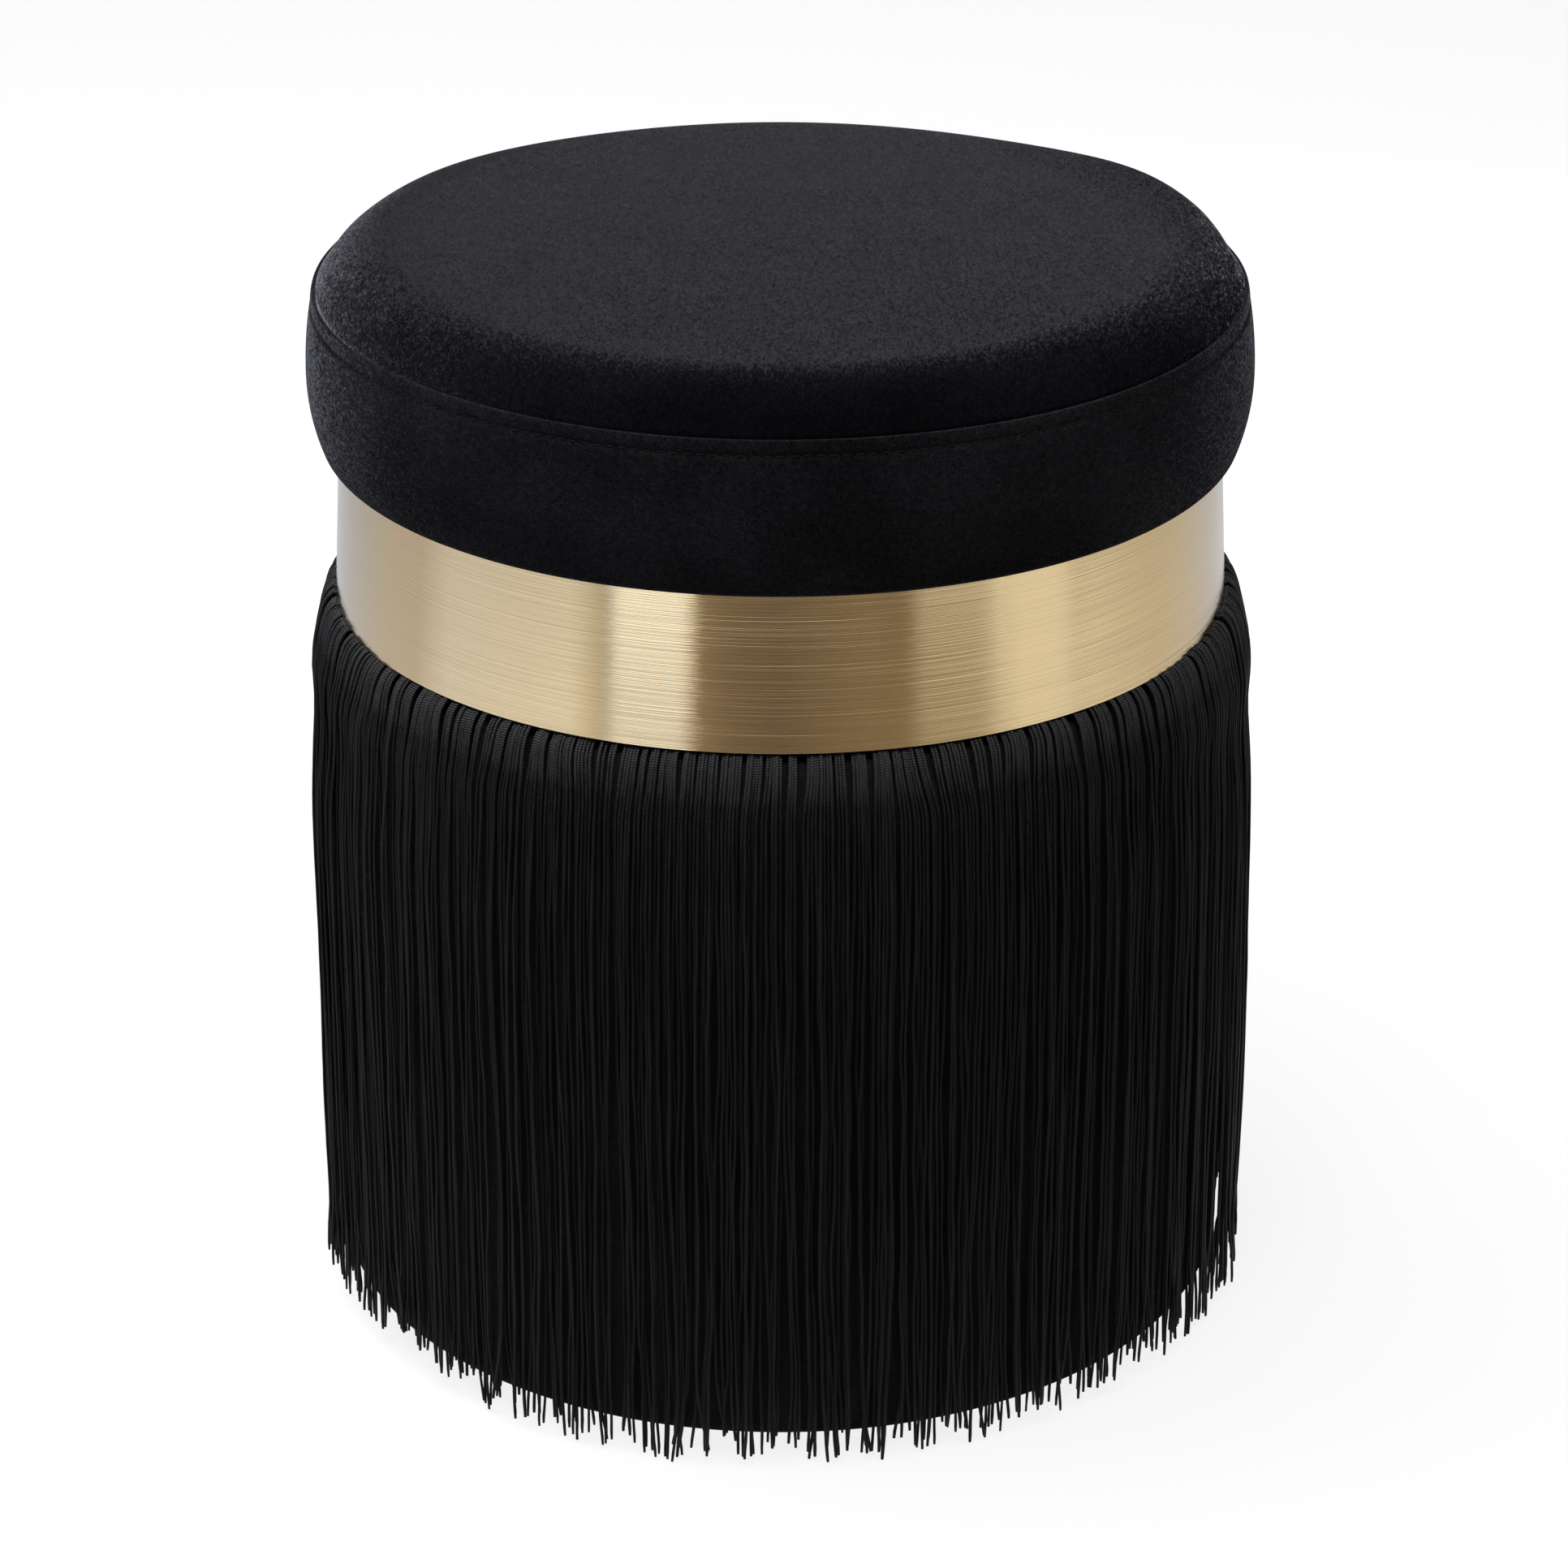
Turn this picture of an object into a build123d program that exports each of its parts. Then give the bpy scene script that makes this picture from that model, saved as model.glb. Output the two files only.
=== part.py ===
# Round fringed velvet stool: a padded seat over a brass-coloured band, on an upholstered drum with a cord fringe.
# Millimetres, +Z up. The origin is on the floor, on the stool's axis; the back, with the band's joint, is at +Y.
from build123d import *
import math
import os

# Heights of the layers, from the floor up
GLIDE_HEIGHT = 6.0
DUST_COVER_THICKNESS = 0.6
DRUM_HEIGHT = 272.7          # underside to top, over the cover
BAND_HEIGHT = 58.5
SEAT_HEIGHT = 77.5           # underside to crown, over the velvet

# Radii: the band sets the stool, and the seat and drum stand out from it
BAND_RADIUS = 167.0          # at the lower edge
BAND_TAPER = 3.0             # less at the upper edge
SEAT_OVERHANG = 8.0
DRUM_OVERHANG = 6.0

# Velvet
VELVET = 1.2
SEAM_LAP = 6.0               # side panel over top panel, at the seam
SEAT_HEM = 30.0              # turned under the seat board
DRUM_HEM = 28.0              # turned under the drum
DRUM_TOP_HEM = 5.0           # on the drum's top, inside the fringe heading

# Seat
SEAT_ROLL = 9.2              # how far the side tucks in at the underside
SEAT_ROLL_RADIUS = 5.0       # of its tightest part
SEAT_BULGE_HEIGHT = 28.0     # widest line, above the underside
SEAM_HEIGHT = 59.4           # lapped edge, above the underside
SEAM_DRAW_IN = 3.5           # lean of the side at the seam
TOP_ROLL = 34.0              # width of the top's rounded edge
CROWN = 2.5                  # rise of the top inside that edge
SEAT_FOAM_SKIRT = 6.0        # foam beside the board's edge
SEAT_BOARD_THICKNESS = 15.0

# Band and the collar inside it
BAND_SHEET = 1.0
BAND_JOINT = 0.4             # gap of the butt joint at the back
BAND_FIT = 0.3               # between the band and the collar wall
COLLAR_WALL = 3.0            # at the upper edge
COLLAR_BOARD_THICKNESS = 12.0
COLLAR_LOWER_OPENING = 95.0  # radius
COLLAR_UPPER_OPENING = 70.0  # radius
BLOCK_COUNT = 6
BLOCK_WIDTH = 34.0
BLOCK_DEPTH = 24.0
BLOCK_INSET = 13.0           # block's outer face inside the collar wall

# Drum
SHOULDER_WIDTH = 14.0
SHOULDER_DROP = 30.0
SHOULDER_RADIUS = 9.0        # of its tightest part
DRUM_EDGE = 10.0             # rounding of the lower edge, at most as wide as the wall and its cover
EDGE_LAND = 0.2              # flat padding between that rounding and the bottom board
PADDING = 6.0
DRUM_WALL = 3.0
DRUM_BOARD_THICKNESS = 15.0
DRUM_OPENING = 95.0          # radius of the hole in both boards
BEVEL_LAND = 4.0             # flat padding between the shoulder and the top board's bevel
WALL_STEP = 2.0              # wall's upper edge below the bevel
WALL_LIFT = 1.2              # wall's lower edge above the bottom board's underside
POST_COUNT = 6
POST_WIDTH = 34.0
POST_DEPTH = 24.0

# Fringe
CORD_COUNT = 320
CORD_WIDTH = 2.3
CORD_DEPTH = 1.6
CORD_CLEARANCE = 0.3
HEADING_WIDTH = 12.0
HEADING_SLICE = 2.0          # outer strip of the heading, which the cords grow from
HEADING_INSET = 2.0          # heading's outer edge inside the shoulder
FRINGE_FLARE = 3.6           # how far the tips hang out from the drum
FLARE_SPREAD = 1.2
TIP_HEIGHT = 4.0             # above the floor
TIP_SPREAD = 2.0
BEND_COUNT = 3               # in each cord, over the shoulder
CORD_KINDS = 8               # lengths and flares before they repeat
KIND_STEP_COUNT = 3          # kinds from one cord to the next

# Wood screws
FIT = 0.1                    # clearance round a fastener
SCREW_SHANK = 4.5
SCREW_HEAD = 9.0
SCREW_HEAD_HEIGHT = 2.6
POST_SCREW_LENGTH = 45.0
BLOCK_SCREW_LENGTH = 25.0
COLLAR_SCREW_LENGTH = 27.0
COLLAR_SCREW_COUNT = 6
COLLAR_SCREW_MARGIN = 17.0   # screw's middle outside the drum boards' opening

# Seat bolts, washers and tee nuts
BOLT_COUNT = 4
BOLT_GAP = 8.7               # washer's edge inside the collar blocks
BOLT_SHANK = 6.0
BOLT_HEAD = 10.0             # across the flats
BOLT_HEAD_HEIGHT = 4.0
BOLT_END_GAP = 2.0           # bolt's end below the seat board's top
WASHER_RADIUS = 9.0
WASHER_THICKNESS = 1.6
TEE_FLANGE_RADIUS = 9.5
TEE_FLANGE_THICKNESS = 1.4
TEE_BARREL_RADIUS = 4.0
TEE_BARREL_LENGTH = 9.0

# Glides and their screws
GLIDE_COUNT = 4
GLIDE_RADIUS = 11.0
GLIDE_EDGE = 1.5             # bevel round the sole
GLIDE_INSET = 15.0           # glide's middle inside the drum's rounded edge
GLIDE_START = 45.0           # degrees from +X to the first glide
DUST_COVER_MARGIN = 2.0      # past the glides
GLIDE_SCREW_SHANK = 3.5
GLIDE_SCREW_HEAD = 7.0
GLIDE_SCREW_HEAD_HEIGHT = 2.0
GLIDE_SCREW_LENGTH = 14.0
GLIDE_SCREW_RECESS = 1.5     # head above the sole

# Levels worked out from those
Z_DUST = GLIDE_HEIGHT
Z_DRUM = Z_DUST + DUST_COVER_THICKNESS
Z_BOTTOM_BOARD = Z_DRUM + VELVET
Z_POST = Z_BOTTOM_BOARD + DRUM_BOARD_THICKNESS
Z_DRUM_TOP = Z_DRUM + DRUM_HEIGHT
Z_BOARD_TOP = Z_DRUM_TOP - VELVET
Z_TOP_BOARD = Z_BOARD_TOP - DRUM_BOARD_THICKNESS
Z_SHOULDER = Z_DRUM_TOP - SHOULDER_DROP
Z_COLLAR = Z_DRUM_TOP + CORD_DEPTH + 2 * CORD_CLEARANCE
Z_BLOCK = Z_COLLAR + COLLAR_BOARD_THICKNESS
Z_SEAT = Z_COLLAR + BAND_HEIGHT
Z_UPPER_BOARD = Z_SEAT - COLLAR_BOARD_THICKNESS
Z_SEAT_BOARD = Z_SEAT + VELVET
Z_FOAM = Z_SEAT_BOARD + SEAT_BOARD_THICKNESS
Z_BULGE = Z_SEAT + SEAT_BULGE_HEIGHT
Z_SEAM = Z_SEAT + SEAM_HEIGHT
Z_LAP = Z_SEAM - SEAM_LAP
Z_CROWN = Z_SEAT + SEAT_HEIGHT

# Radii worked out from those
SEAT_RADIUS = BAND_RADIUS + SEAT_OVERHANG
SEAT_FLAT = SEAT_RADIUS - SEAT_ROLL
SEAT_BOARD_RADIUS = SEAT_FLAT - SEAT_FOAM_SKIRT
CROWN_EDGE = SEAT_RADIUS - SEAM_DRAW_IN - TOP_ROLL
CROWN_ARC = (CROWN**2 + CROWN_EDGE**2) / (2 * CROWN)
SIDE_ARC = (SEAM_DRAW_IN**2 + (Z_SEAM - Z_BULGE) ** 2) / (2 * SEAM_DRAW_IN)
BAND_UPPER_RADIUS = BAND_RADIUS - BAND_TAPER
COLLAR_FACE = BAND_RADIUS - BAND_SHEET - BAND_FIT
COLLAR_UPPER_FACE = COLLAR_FACE - BAND_TAPER
COLLAR_RADIUS = COLLAR_UPPER_FACE - COLLAR_WALL
BLOCK_CIRCLE = COLLAR_RADIUS - BLOCK_INSET - BLOCK_DEPTH / 2
BOLT_CIRCLE = BLOCK_CIRCLE - BLOCK_DEPTH / 2 - BOLT_GAP - WASHER_RADIUS
COLLAR_SCREW_CIRCLE = DRUM_OPENING + COLLAR_SCREW_MARGIN
DRUM_RADIUS = BAND_RADIUS + DRUM_OVERHANG
SHOULDER_START = DRUM_RADIUS - SHOULDER_WIDTH
WALL_RADIUS = DRUM_RADIUS - VELVET - PADDING
BOARD_RADIUS = WALL_RADIUS - DRUM_WALL
EDGE_ROUND = min(DRUM_EDGE, DRUM_RADIUS - BOARD_RADIUS - EDGE_LAND)
EDGE_START = DRUM_RADIUS - EDGE_ROUND
BEVEL_START = SHOULDER_START - BEVEL_LAND
BEVEL = BOARD_RADIUS - BEVEL_START
POST_FACE = math.sqrt(BOARD_RADIUS**2 - (POST_WIDTH / 2) ** 2)
POST_CIRCLE = POST_FACE - POST_DEPTH / 2
HEADING_OUTER = SHOULDER_START - HEADING_INSET
HEADING_INNER = HEADING_OUTER - HEADING_WIDTH
GLIDE_CIRCLE = EDGE_START - GLIDE_INSET
DUST_COVER_RADIUS = GLIDE_CIRCLE + GLIDE_RADIUS + DUST_COVER_MARGIN

BASE = (Align.CENTER, Align.CENTER, Align.MIN)
UPSIDE_DOWN = Rot(180, 0, 0)


# Shapes that several pieces share
def turned(outline):
    """Solid of revolution about the stool's axis, from a closed outline of (radius, height)."""
    return revolve(Plane.XZ * make_face(outline), Axis.Z)


def ring(inner, outer, low, high):
    """Flat ring, or a disc where the inner radius is 0."""
    return turned(Polyline((inner, low), (outer, low), (outer, high), (inner, high), close=True))


def skin(surface, inset, thickness):
    """Cloth between a chain of curves and the same chain further in."""
    outside = surface(inset)
    inside = surface(inset + thickness)
    ends = [Line(outside[0] @ 0, inside[0] @ 0), Line(outside[-1] @ 1, inside[-1] @ 1)]
    return turned(outside + inside + ends)


class Oval:
    """Quarter of an oval in two arcs: a wide one, upright at the side, and a tight one that ends level."""

    def __init__(self, middle, width, height, tight, way=1):
        """The oval rises from its middle, or falls where way is -1."""
        x, z = middle
        self.wide = (width**2 + height**2 - 2 * height * tight) / (2 * (width - tight))
        self.tight = tight
        self.wide_centre = (x + width - self.wide, z)
        self.tight_centre = (x, z + way * (height - tight))
        self.turn = way * math.degrees(math.atan2(height - tight, self.wide - width))
        self.rest = way * 90 - self.turn

    def arcs(self, inset):
        return [
            CenterArc(self.wide_centre, self.wide - inset, 0, self.turn),
            CenterArc(self.tight_centre, self.tight - inset, self.turn, self.rest),
        ]

    def reach(self, angle):
        """Distance from the origin to the tangent whose normal has that angle, in degrees."""
        if abs(angle) < abs(self.turn):
            centre, radius = self.wide_centre, self.wide
        else:
            centre, radius = self.tight_centre, self.tight
        turn = math.radians(angle)
        return centre[0] * math.cos(turn) + centre[1] * math.sin(turn) + radius


def around(count, radius, level=0.0, start=0.0):
    """Places spread evenly round the axis, at one level."""
    return [Rot(0, 0, start + 360 * i / count) * Pos(radius, 0, level) for i in range(count)]


def countersunk_screw(length, shank, head, head_height, room=0.0):
    """Screw that points up with its head's face at level 0 or, with room, the hole that takes it."""
    side = shank / 2 + room
    return turned(
        Polyline(
            (0, -room),
            (head / 2 + room, -room),
            (side, head_height),
            (side, length - shank),
            (0, length + room),
            close=True,
        )
    )


def wood_screw(length, room=0.0):
    return countersunk_screw(length, SCREW_SHANK, SCREW_HEAD, SCREW_HEAD_HEIGHT, room)


def glide_screw(room=0.0):
    return countersunk_screw(
        GLIDE_SCREW_LENGTH, GLIDE_SCREW_SHANK, GLIDE_SCREW_HEAD, GLIDE_SCREW_HEAD_HEIGHT, room
    )


def copies(shape, places):
    return [place * shape for place in places]


# Where the fasteners go
POST_PLACES = around(POST_COUNT, POST_CIRCLE)
BLOCK_PLACES = around(BLOCK_COUNT, BLOCK_CIRCLE)
COLLAR_SCREW_START = 180 / COLLAR_SCREW_COUNT
COLLAR_SCREW_PLACES = around(COLLAR_SCREW_COUNT, COLLAR_SCREW_CIRCLE, Z_TOP_BOARD, COLLAR_SCREW_START)
BOLT_PLACES = around(BOLT_COUNT, BOLT_CIRCLE)
GLIDE_PLACES = around(GLIDE_COUNT, GLIDE_CIRCLE, 0, GLIDE_START)
GLIDE_SCREW_PLACES = around(GLIDE_COUNT, GLIDE_CIRCLE, GLIDE_SCREW_RECESS, GLIDE_START)


def post_screws(room=0.0):
    """One screw up through the bottom board and one down through the top board, into each post."""
    screw = wood_screw(POST_SCREW_LENGTH, room)
    lower = around(POST_COUNT, POST_CIRCLE, Z_BOTTOM_BOARD)
    upper = around(POST_COUNT, POST_CIRCLE, Z_BOARD_TOP)
    return copies(screw, lower) + copies(UPSIDE_DOWN * screw, upper)


def block_screws(room=0.0):
    """One screw up through the collar's lower board and one down through its upper board, into each block."""
    screw = wood_screw(BLOCK_SCREW_LENGTH, room)
    lower = around(BLOCK_COUNT, BLOCK_CIRCLE, Z_COLLAR)
    upper = around(BLOCK_COUNT, BLOCK_CIRCLE, Z_SEAT)
    return copies(screw, lower) + copies(UPSIDE_DOWN * screw, upper)


def collar_screws(room=0.0):
    return copies(wood_screw(COLLAR_SCREW_LENGTH, room), COLLAR_SCREW_PLACES)


def glide_screws(room=0.0):
    return copies(glide_screw(room), GLIDE_SCREW_PLACES)


def bolt_holes():
    hole = Pos(0, 0, Z_UPPER_BOARD) * Cylinder(BOLT_SHANK / 2 + FIT, Z_FOAM - Z_UPPER_BOARD, align=BASE)
    return copies(hole, BOLT_PLACES)


# Seat
def side_point(level, inset):
    """Point on the seat's upper side, which leans in from the bulge to the seam."""
    arc = SIDE_ARC - inset
    return (SEAT_RADIUS - SIDE_ARC + math.sqrt(arc**2 - (level - Z_BULGE) ** 2), level)


def side_curve(low, high, inset):
    middle = (low + high) / 2
    return ThreePointArc(side_point(low, inset), side_point(middle, inset), side_point(high, inset))


# Lower side of the seat, from the bulge to its flat underside
SEAT_LOWER_SIDE = Oval((SEAT_FLAT, Z_BULGE), SEAT_ROLL, SEAT_BULGE_HEIGHT, SEAT_ROLL_RADIUS, way=-1)


def crown_curves(inset):
    """Top of the seat: its rounded edge, from the seam, then the crown to the middle."""
    deeper = inset - VELVET
    slope = math.degrees(math.asin(CROWN_EDGE / CROWN_ARC))
    crown = CenterArc((0, Z_CROWN - CROWN_ARC - deeper), CROWN_ARC, 90 - slope, slope)
    edge = TangentArc(crown @ 0, side_point(Z_SEAM, inset), tangent=-(crown % 0))
    return [edge, crown]


def side_surface(inset):
    hem = Line((SEAT_FLAT - SEAT_HEM, Z_SEAT + inset), (SEAT_FLAT, Z_SEAT + inset))
    return [hem, *SEAT_LOWER_SIDE.arcs(inset), side_curve(Z_BULGE, Z_SEAM, inset)]


def top_surface(inset):
    return [side_curve(Z_LAP, Z_SEAM, inset), *crown_curves(inset)]


def seat_foam():
    """Foam pad: crowned, bulging at the side and wrapped down round the board's edge."""
    under_side = side_curve(Z_BULGE, Z_LAP, VELVET)
    under_top = top_surface(2 * VELVET)
    step = Line(under_side @ 1, under_top[0] @ 0)
    outside = [*SEAT_LOWER_SIDE.arcs(VELVET), under_side, step, *under_top]
    seat_line = Polyline(
        under_top[-1] @ 1,
        (0, Z_FOAM),
        (SEAT_BOARD_RADIUS, Z_FOAM),
        (SEAT_BOARD_RADIUS, Z_SEAT_BOARD),
        (SEAT_FLAT, Z_SEAT_BOARD),
    )
    return turned(outside + [seat_line])


def seat_board():
    flange_level = Z_FOAM - TEE_FLANGE_THICKNESS
    barrel_level = flange_level - TEE_BARREL_LENGTH
    flange = Pos(0, 0, flange_level) * Cylinder(TEE_FLANGE_RADIUS + FIT, TEE_FLANGE_THICKNESS, align=BASE)
    barrel = Pos(0, 0, barrel_level) * Cylinder(TEE_BARREL_RADIUS + FIT, TEE_BARREL_LENGTH, align=BASE)
    board = ring(0, SEAT_BOARD_RADIUS, Z_SEAT_BOARD, Z_FOAM)
    return board - bolt_holes() - copies(flange + barrel, BOLT_PLACES)


def tee_nuts():
    bore = BOLT_SHANK / 2 + FIT
    nut = turned(
        Polyline(
            (bore, -TEE_BARREL_LENGTH),
            (TEE_BARREL_RADIUS, -TEE_BARREL_LENGTH),
            (TEE_BARREL_RADIUS, 0),
            (TEE_FLANGE_RADIUS, 0),
            (TEE_FLANGE_RADIUS, TEE_FLANGE_THICKNESS),
            (bore, TEE_FLANGE_THICKNESS),
            close=True,
        )
    )
    return copies(nut, around(BOLT_COUNT, BOLT_CIRCLE, Z_FOAM - TEE_FLANGE_THICKNESS))


def seat_bolts():
    """Hexagon bolts up through the collar's upper board into the tee nuts."""
    head_outline = RegularPolygon(BOLT_HEAD / 2, 6, major_radius=False)
    head = extrude(head_outline, -BOLT_HEAD_HEIGHT)
    length = Z_FOAM - BOLT_END_GAP - Z_UPPER_BOARD + WASHER_THICKNESS
    bolt = head + Cylinder(BOLT_SHANK / 2, length, align=BASE)
    return copies(bolt, around(BOLT_COUNT, BOLT_CIRCLE, Z_UPPER_BOARD - WASHER_THICKNESS))


def bolt_washers():
    washer = ring(BOLT_SHANK / 2 + FIT, WASHER_RADIUS, -WASHER_THICKNESS, 0)
    return copies(washer, around(BOLT_COUNT, BOLT_CIRCLE, Z_UPPER_BOARD))


# Band and collar
def metal_band():
    """Rolled sheet that flares a little downwards, with its ends butted at the back."""
    strip = Polyline(
        (BAND_RADIUS - BAND_SHEET, Z_COLLAR),
        (BAND_RADIUS, Z_COLLAR),
        (BAND_UPPER_RADIUS, Z_SEAT),
        (BAND_UPPER_RADIUS - BAND_SHEET, Z_SEAT),
        close=True,
    )
    joint = math.degrees(BAND_JOINT / BAND_RADIUS)
    sheet = revolve(Plane.XZ * make_face(strip), Axis.Z, revolution_arc=360 - joint)
    return Rot(0, 0, 90 + joint / 2) * sheet


def collar_wall():
    """Wall under the band: upright inside, and as flared as the band outside."""
    return turned(
        Polyline(
            (COLLAR_RADIUS, Z_COLLAR),
            (COLLAR_FACE, Z_COLLAR),
            (COLLAR_UPPER_FACE, Z_SEAT),
            (COLLAR_RADIUS, Z_SEAT),
            close=True,
        )
    )


def collar_lower_board():
    board = ring(COLLAR_LOWER_OPENING, COLLAR_RADIUS, Z_COLLAR, Z_BLOCK)
    return board - collar_screws(FIT) - block_screws(FIT)


def collar_upper_board():
    board = ring(COLLAR_UPPER_OPENING, COLLAR_RADIUS, Z_UPPER_BOARD, Z_SEAT)
    return board - bolt_holes() - block_screws(FIT)


def collar_blocks():
    block = Pos(0, 0, Z_BLOCK) * Box(BLOCK_DEPTH, BLOCK_WIDTH, Z_UPPER_BOARD - Z_BLOCK, align=BASE)
    return [place * block - block_screws(FIT) for place in BLOCK_PLACES]


# Drum
SHOULDER = Oval((SHOULDER_START, Z_SHOULDER), SHOULDER_WIDTH, SHOULDER_DROP, SHOULDER_RADIUS)


def drum_surface(inset):
    """From the hem under the drum, round its lower edge, up and over the shoulder to the top."""
    wall = DRUM_RADIUS - inset
    edge_level = Z_DRUM + EDGE_ROUND
    edge_round = EDGE_ROUND - inset
    return [
        Line((EDGE_START - DRUM_HEM, Z_DRUM + inset), (EDGE_START, Z_DRUM + inset)),
        CenterArc((EDGE_START, edge_level), edge_round, 270, 90),
        Line((wall, edge_level), (wall, Z_SHOULDER)),
        *SHOULDER.arcs(inset),
        Line((SHOULDER_START, Z_DRUM_TOP - inset), (HEADING_INNER - DRUM_TOP_HEM, Z_DRUM_TOP - inset)),
    ]


def drum_cover():
    return skin(drum_surface, 0, VELVET) - glide_screws(FIT)


def wall_levels():
    return Z_BOTTOM_BOARD + WALL_LIFT, Z_BOARD_TOP - BEVEL - WALL_STEP


def drum_padding():
    """Wadding between the wall and the cover, rounded over the shoulder and under the lower edge."""
    low, high = wall_levels()
    outside = drum_surface(VELVET)[1:-1]
    wall_line = Polyline(
        outside[-1] @ 1,
        (BEVEL_START, Z_BOARD_TOP),
        (BOARD_RADIUS, Z_BOARD_TOP - BEVEL),
        (BOARD_RADIUS, high),
        (WALL_RADIUS, high),
        (WALL_RADIUS, low),
        (BOARD_RADIUS, low),
        (BOARD_RADIUS, Z_BOTTOM_BOARD),
        outside[0] @ 0,
    )
    return turned(outside + [wall_line])


def drum_wall():
    low, high = wall_levels()
    return ring(BOARD_RADIUS, WALL_RADIUS, low, high)


def drum_top_board():
    """Plywood ring whose upper edge is bevelled for the padded shoulder."""
    board = turned(
        Polyline(
            (DRUM_OPENING, Z_TOP_BOARD),
            (BOARD_RADIUS, Z_TOP_BOARD),
            (BOARD_RADIUS, Z_BOARD_TOP - BEVEL),
            (BEVEL_START, Z_BOARD_TOP),
            (DRUM_OPENING, Z_BOARD_TOP),
            close=True,
        )
    )
    return board - collar_screws(FIT) - post_screws(FIT)


def drum_bottom_board():
    board = ring(DRUM_OPENING, BOARD_RADIUS, Z_BOTTOM_BOARD, Z_POST)
    return board - glide_screws(FIT) - post_screws(FIT)


def drum_posts():
    post = Pos(0, 0, Z_POST) * Box(POST_DEPTH, POST_WIDTH, Z_TOP_BOARD - Z_POST, align=BASE)
    return [place * post - post_screws(FIT) for place in POST_PLACES]


# Fringe
def heading_ring(inner, outer):
    return ring(inner, outer, Z_DRUM_TOP, Z_COLLAR)


def tangent_corner(oval, first, second):
    """Where two of the oval's tangents meet, a cord's clearance outside it."""
    turns = [math.radians(first), math.radians(second)]
    reaches = [oval.reach(first) + CORD_CLEARANCE, oval.reach(second) + CORD_CLEARANCE]
    spread = math.sin(turns[1] - turns[0])
    x = (reaches[0] * math.sin(turns[1]) - reaches[1] * math.sin(turns[0])) / spread
    z = (reaches[1] * math.cos(turns[0]) - reaches[0] * math.cos(turns[1])) / spread
    return (x, 0, z)


# A cord's bends over the shoulder, between tangents that turn evenly from level to upright
TANGENT_TURNS = [90 * (1 - i / BEND_COUNT) for i in range(BEND_COUNT + 1)]
SHOULDER_BENDS = [tangent_corner(SHOULDER, *pair) for pair in zip(TANGENT_TURNS, TANGENT_TURNS[1:])]


def fringe_cord(kind):
    """Three-sided cord from the heading, over the shoulder in a few bends, down to its tip."""
    turn = 2 * math.pi * kind / CORD_KINDS
    flare = FRINGE_FLARE + FLARE_SPREAD * math.sin(turn)
    tip = TIP_HEIGHT + TIP_SPREAD * math.cos(turn)
    start = (HEADING_OUTER - HEADING_SLICE / 2, 0, Z_DRUM_TOP + CORD_CLEARANCE)
    end = (DRUM_RADIUS + CORD_CLEARANCE + flare, 0, tip)
    path = Polyline(start, *SHOULDER_BENDS, end)
    half = CORD_WIDTH / 2
    outline = Polyline((-half, 0), (half, 0), (0, CORD_DEPTH), close=True)
    section = Plane(start, x_dir=(0, 1, 0), z_dir=(1, 0, 0)) * make_face(outline)
    return sweep(section, path=path, transition=Transition.RIGHT)


def fringe_cords():
    """All cords, grown together with the outer strip of the heading."""
    kinds = [fringe_cord(kind) for kind in range(CORD_KINDS)]
    turns = [Rot(0, 0, 360 * i / CORD_COUNT) for i in range(CORD_COUNT)]
    cords = [turn * kinds[i * KIND_STEP_COUNT % CORD_KINDS] for i, turn in enumerate(turns)]
    return heading_ring(HEADING_OUTER - HEADING_SLICE, HEADING_OUTER).fuse(*cords)


# Underside
def dust_cover():
    return ring(0, DUST_COVER_RADIUS, Z_DUST, Z_DRUM) - glide_screws(FIT)


def glides():
    puck = turned(
        Polyline(
            (0, 0),
            (GLIDE_RADIUS - GLIDE_EDGE, 0),
            (GLIDE_RADIUS, GLIDE_EDGE),
            (GLIDE_RADIUS, GLIDE_HEIGHT),
            (0, GLIDE_HEIGHT),
            close=True,
        )
    )
    recess = Cylinder(GLIDE_SCREW_HEAD / 2 + FIT, GLIDE_SCREW_RECESS, align=BASE)
    hollow = puck - recess - Pos(0, 0, GLIDE_SCREW_RECESS) * glide_screw(FIT)
    return copies(hollow, GLIDE_PLACES)


def numbered(name, solids):
    return {f"{name}_{i + 1}": solid for i, solid in enumerate(solids)}


pieces = {
    "seat_top_panel": skin(top_surface, VELVET, VELVET),
    "seat_side_panel": skin(side_surface, 0, VELVET),
    "seat_foam": seat_foam(),
    "seat_board": seat_board(),
    "seat_tee_nuts": Compound(children=tee_nuts()),
    "seat_bolts": Compound(children=seat_bolts()),
    "seat_bolt_washers": Compound(children=bolt_washers()),
    "metal_band": metal_band(),
    "collar_wall": collar_wall(),
    "collar_upper_board": collar_upper_board(),
    "collar_lower_board": collar_lower_board(),
    **numbered("collar_block", collar_blocks()),
    "collar_block_screws": Compound(children=block_screws()),
    "collar_screws": Compound(children=collar_screws()),
    "fringe_heading": heading_ring(HEADING_INNER, HEADING_OUTER - HEADING_SLICE),
    "fringe_cords": fringe_cords(),
    "drum_cover": drum_cover(),
    "drum_padding": drum_padding(),
    "drum_wall": drum_wall(),
    "drum_top_board": drum_top_board(),
    "drum_bottom_board": drum_bottom_board(),
    **numbered("drum_post", drum_posts()),
    "drum_post_screws": Compound(children=post_screws()),
    "dust_cover": dust_cover(),
    **numbered("glide", glides()),
    "glide_screws": Compound(children=glide_screws()),
}

os.makedirs("parts", exist_ok=True)
for name, piece in pieces.items():
    export_step(piece, f"parts/{name}.step")
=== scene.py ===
# Looks of the fringed velvet stool: velvet seat and drum, brushed brass band, cord fringe, white studio.
# Pieces are worked out in millimetres about the stool's axis, and go into Blender in metres,
# in the frame's own place. Angles round the axis count from the front to the right.
import math

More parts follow.
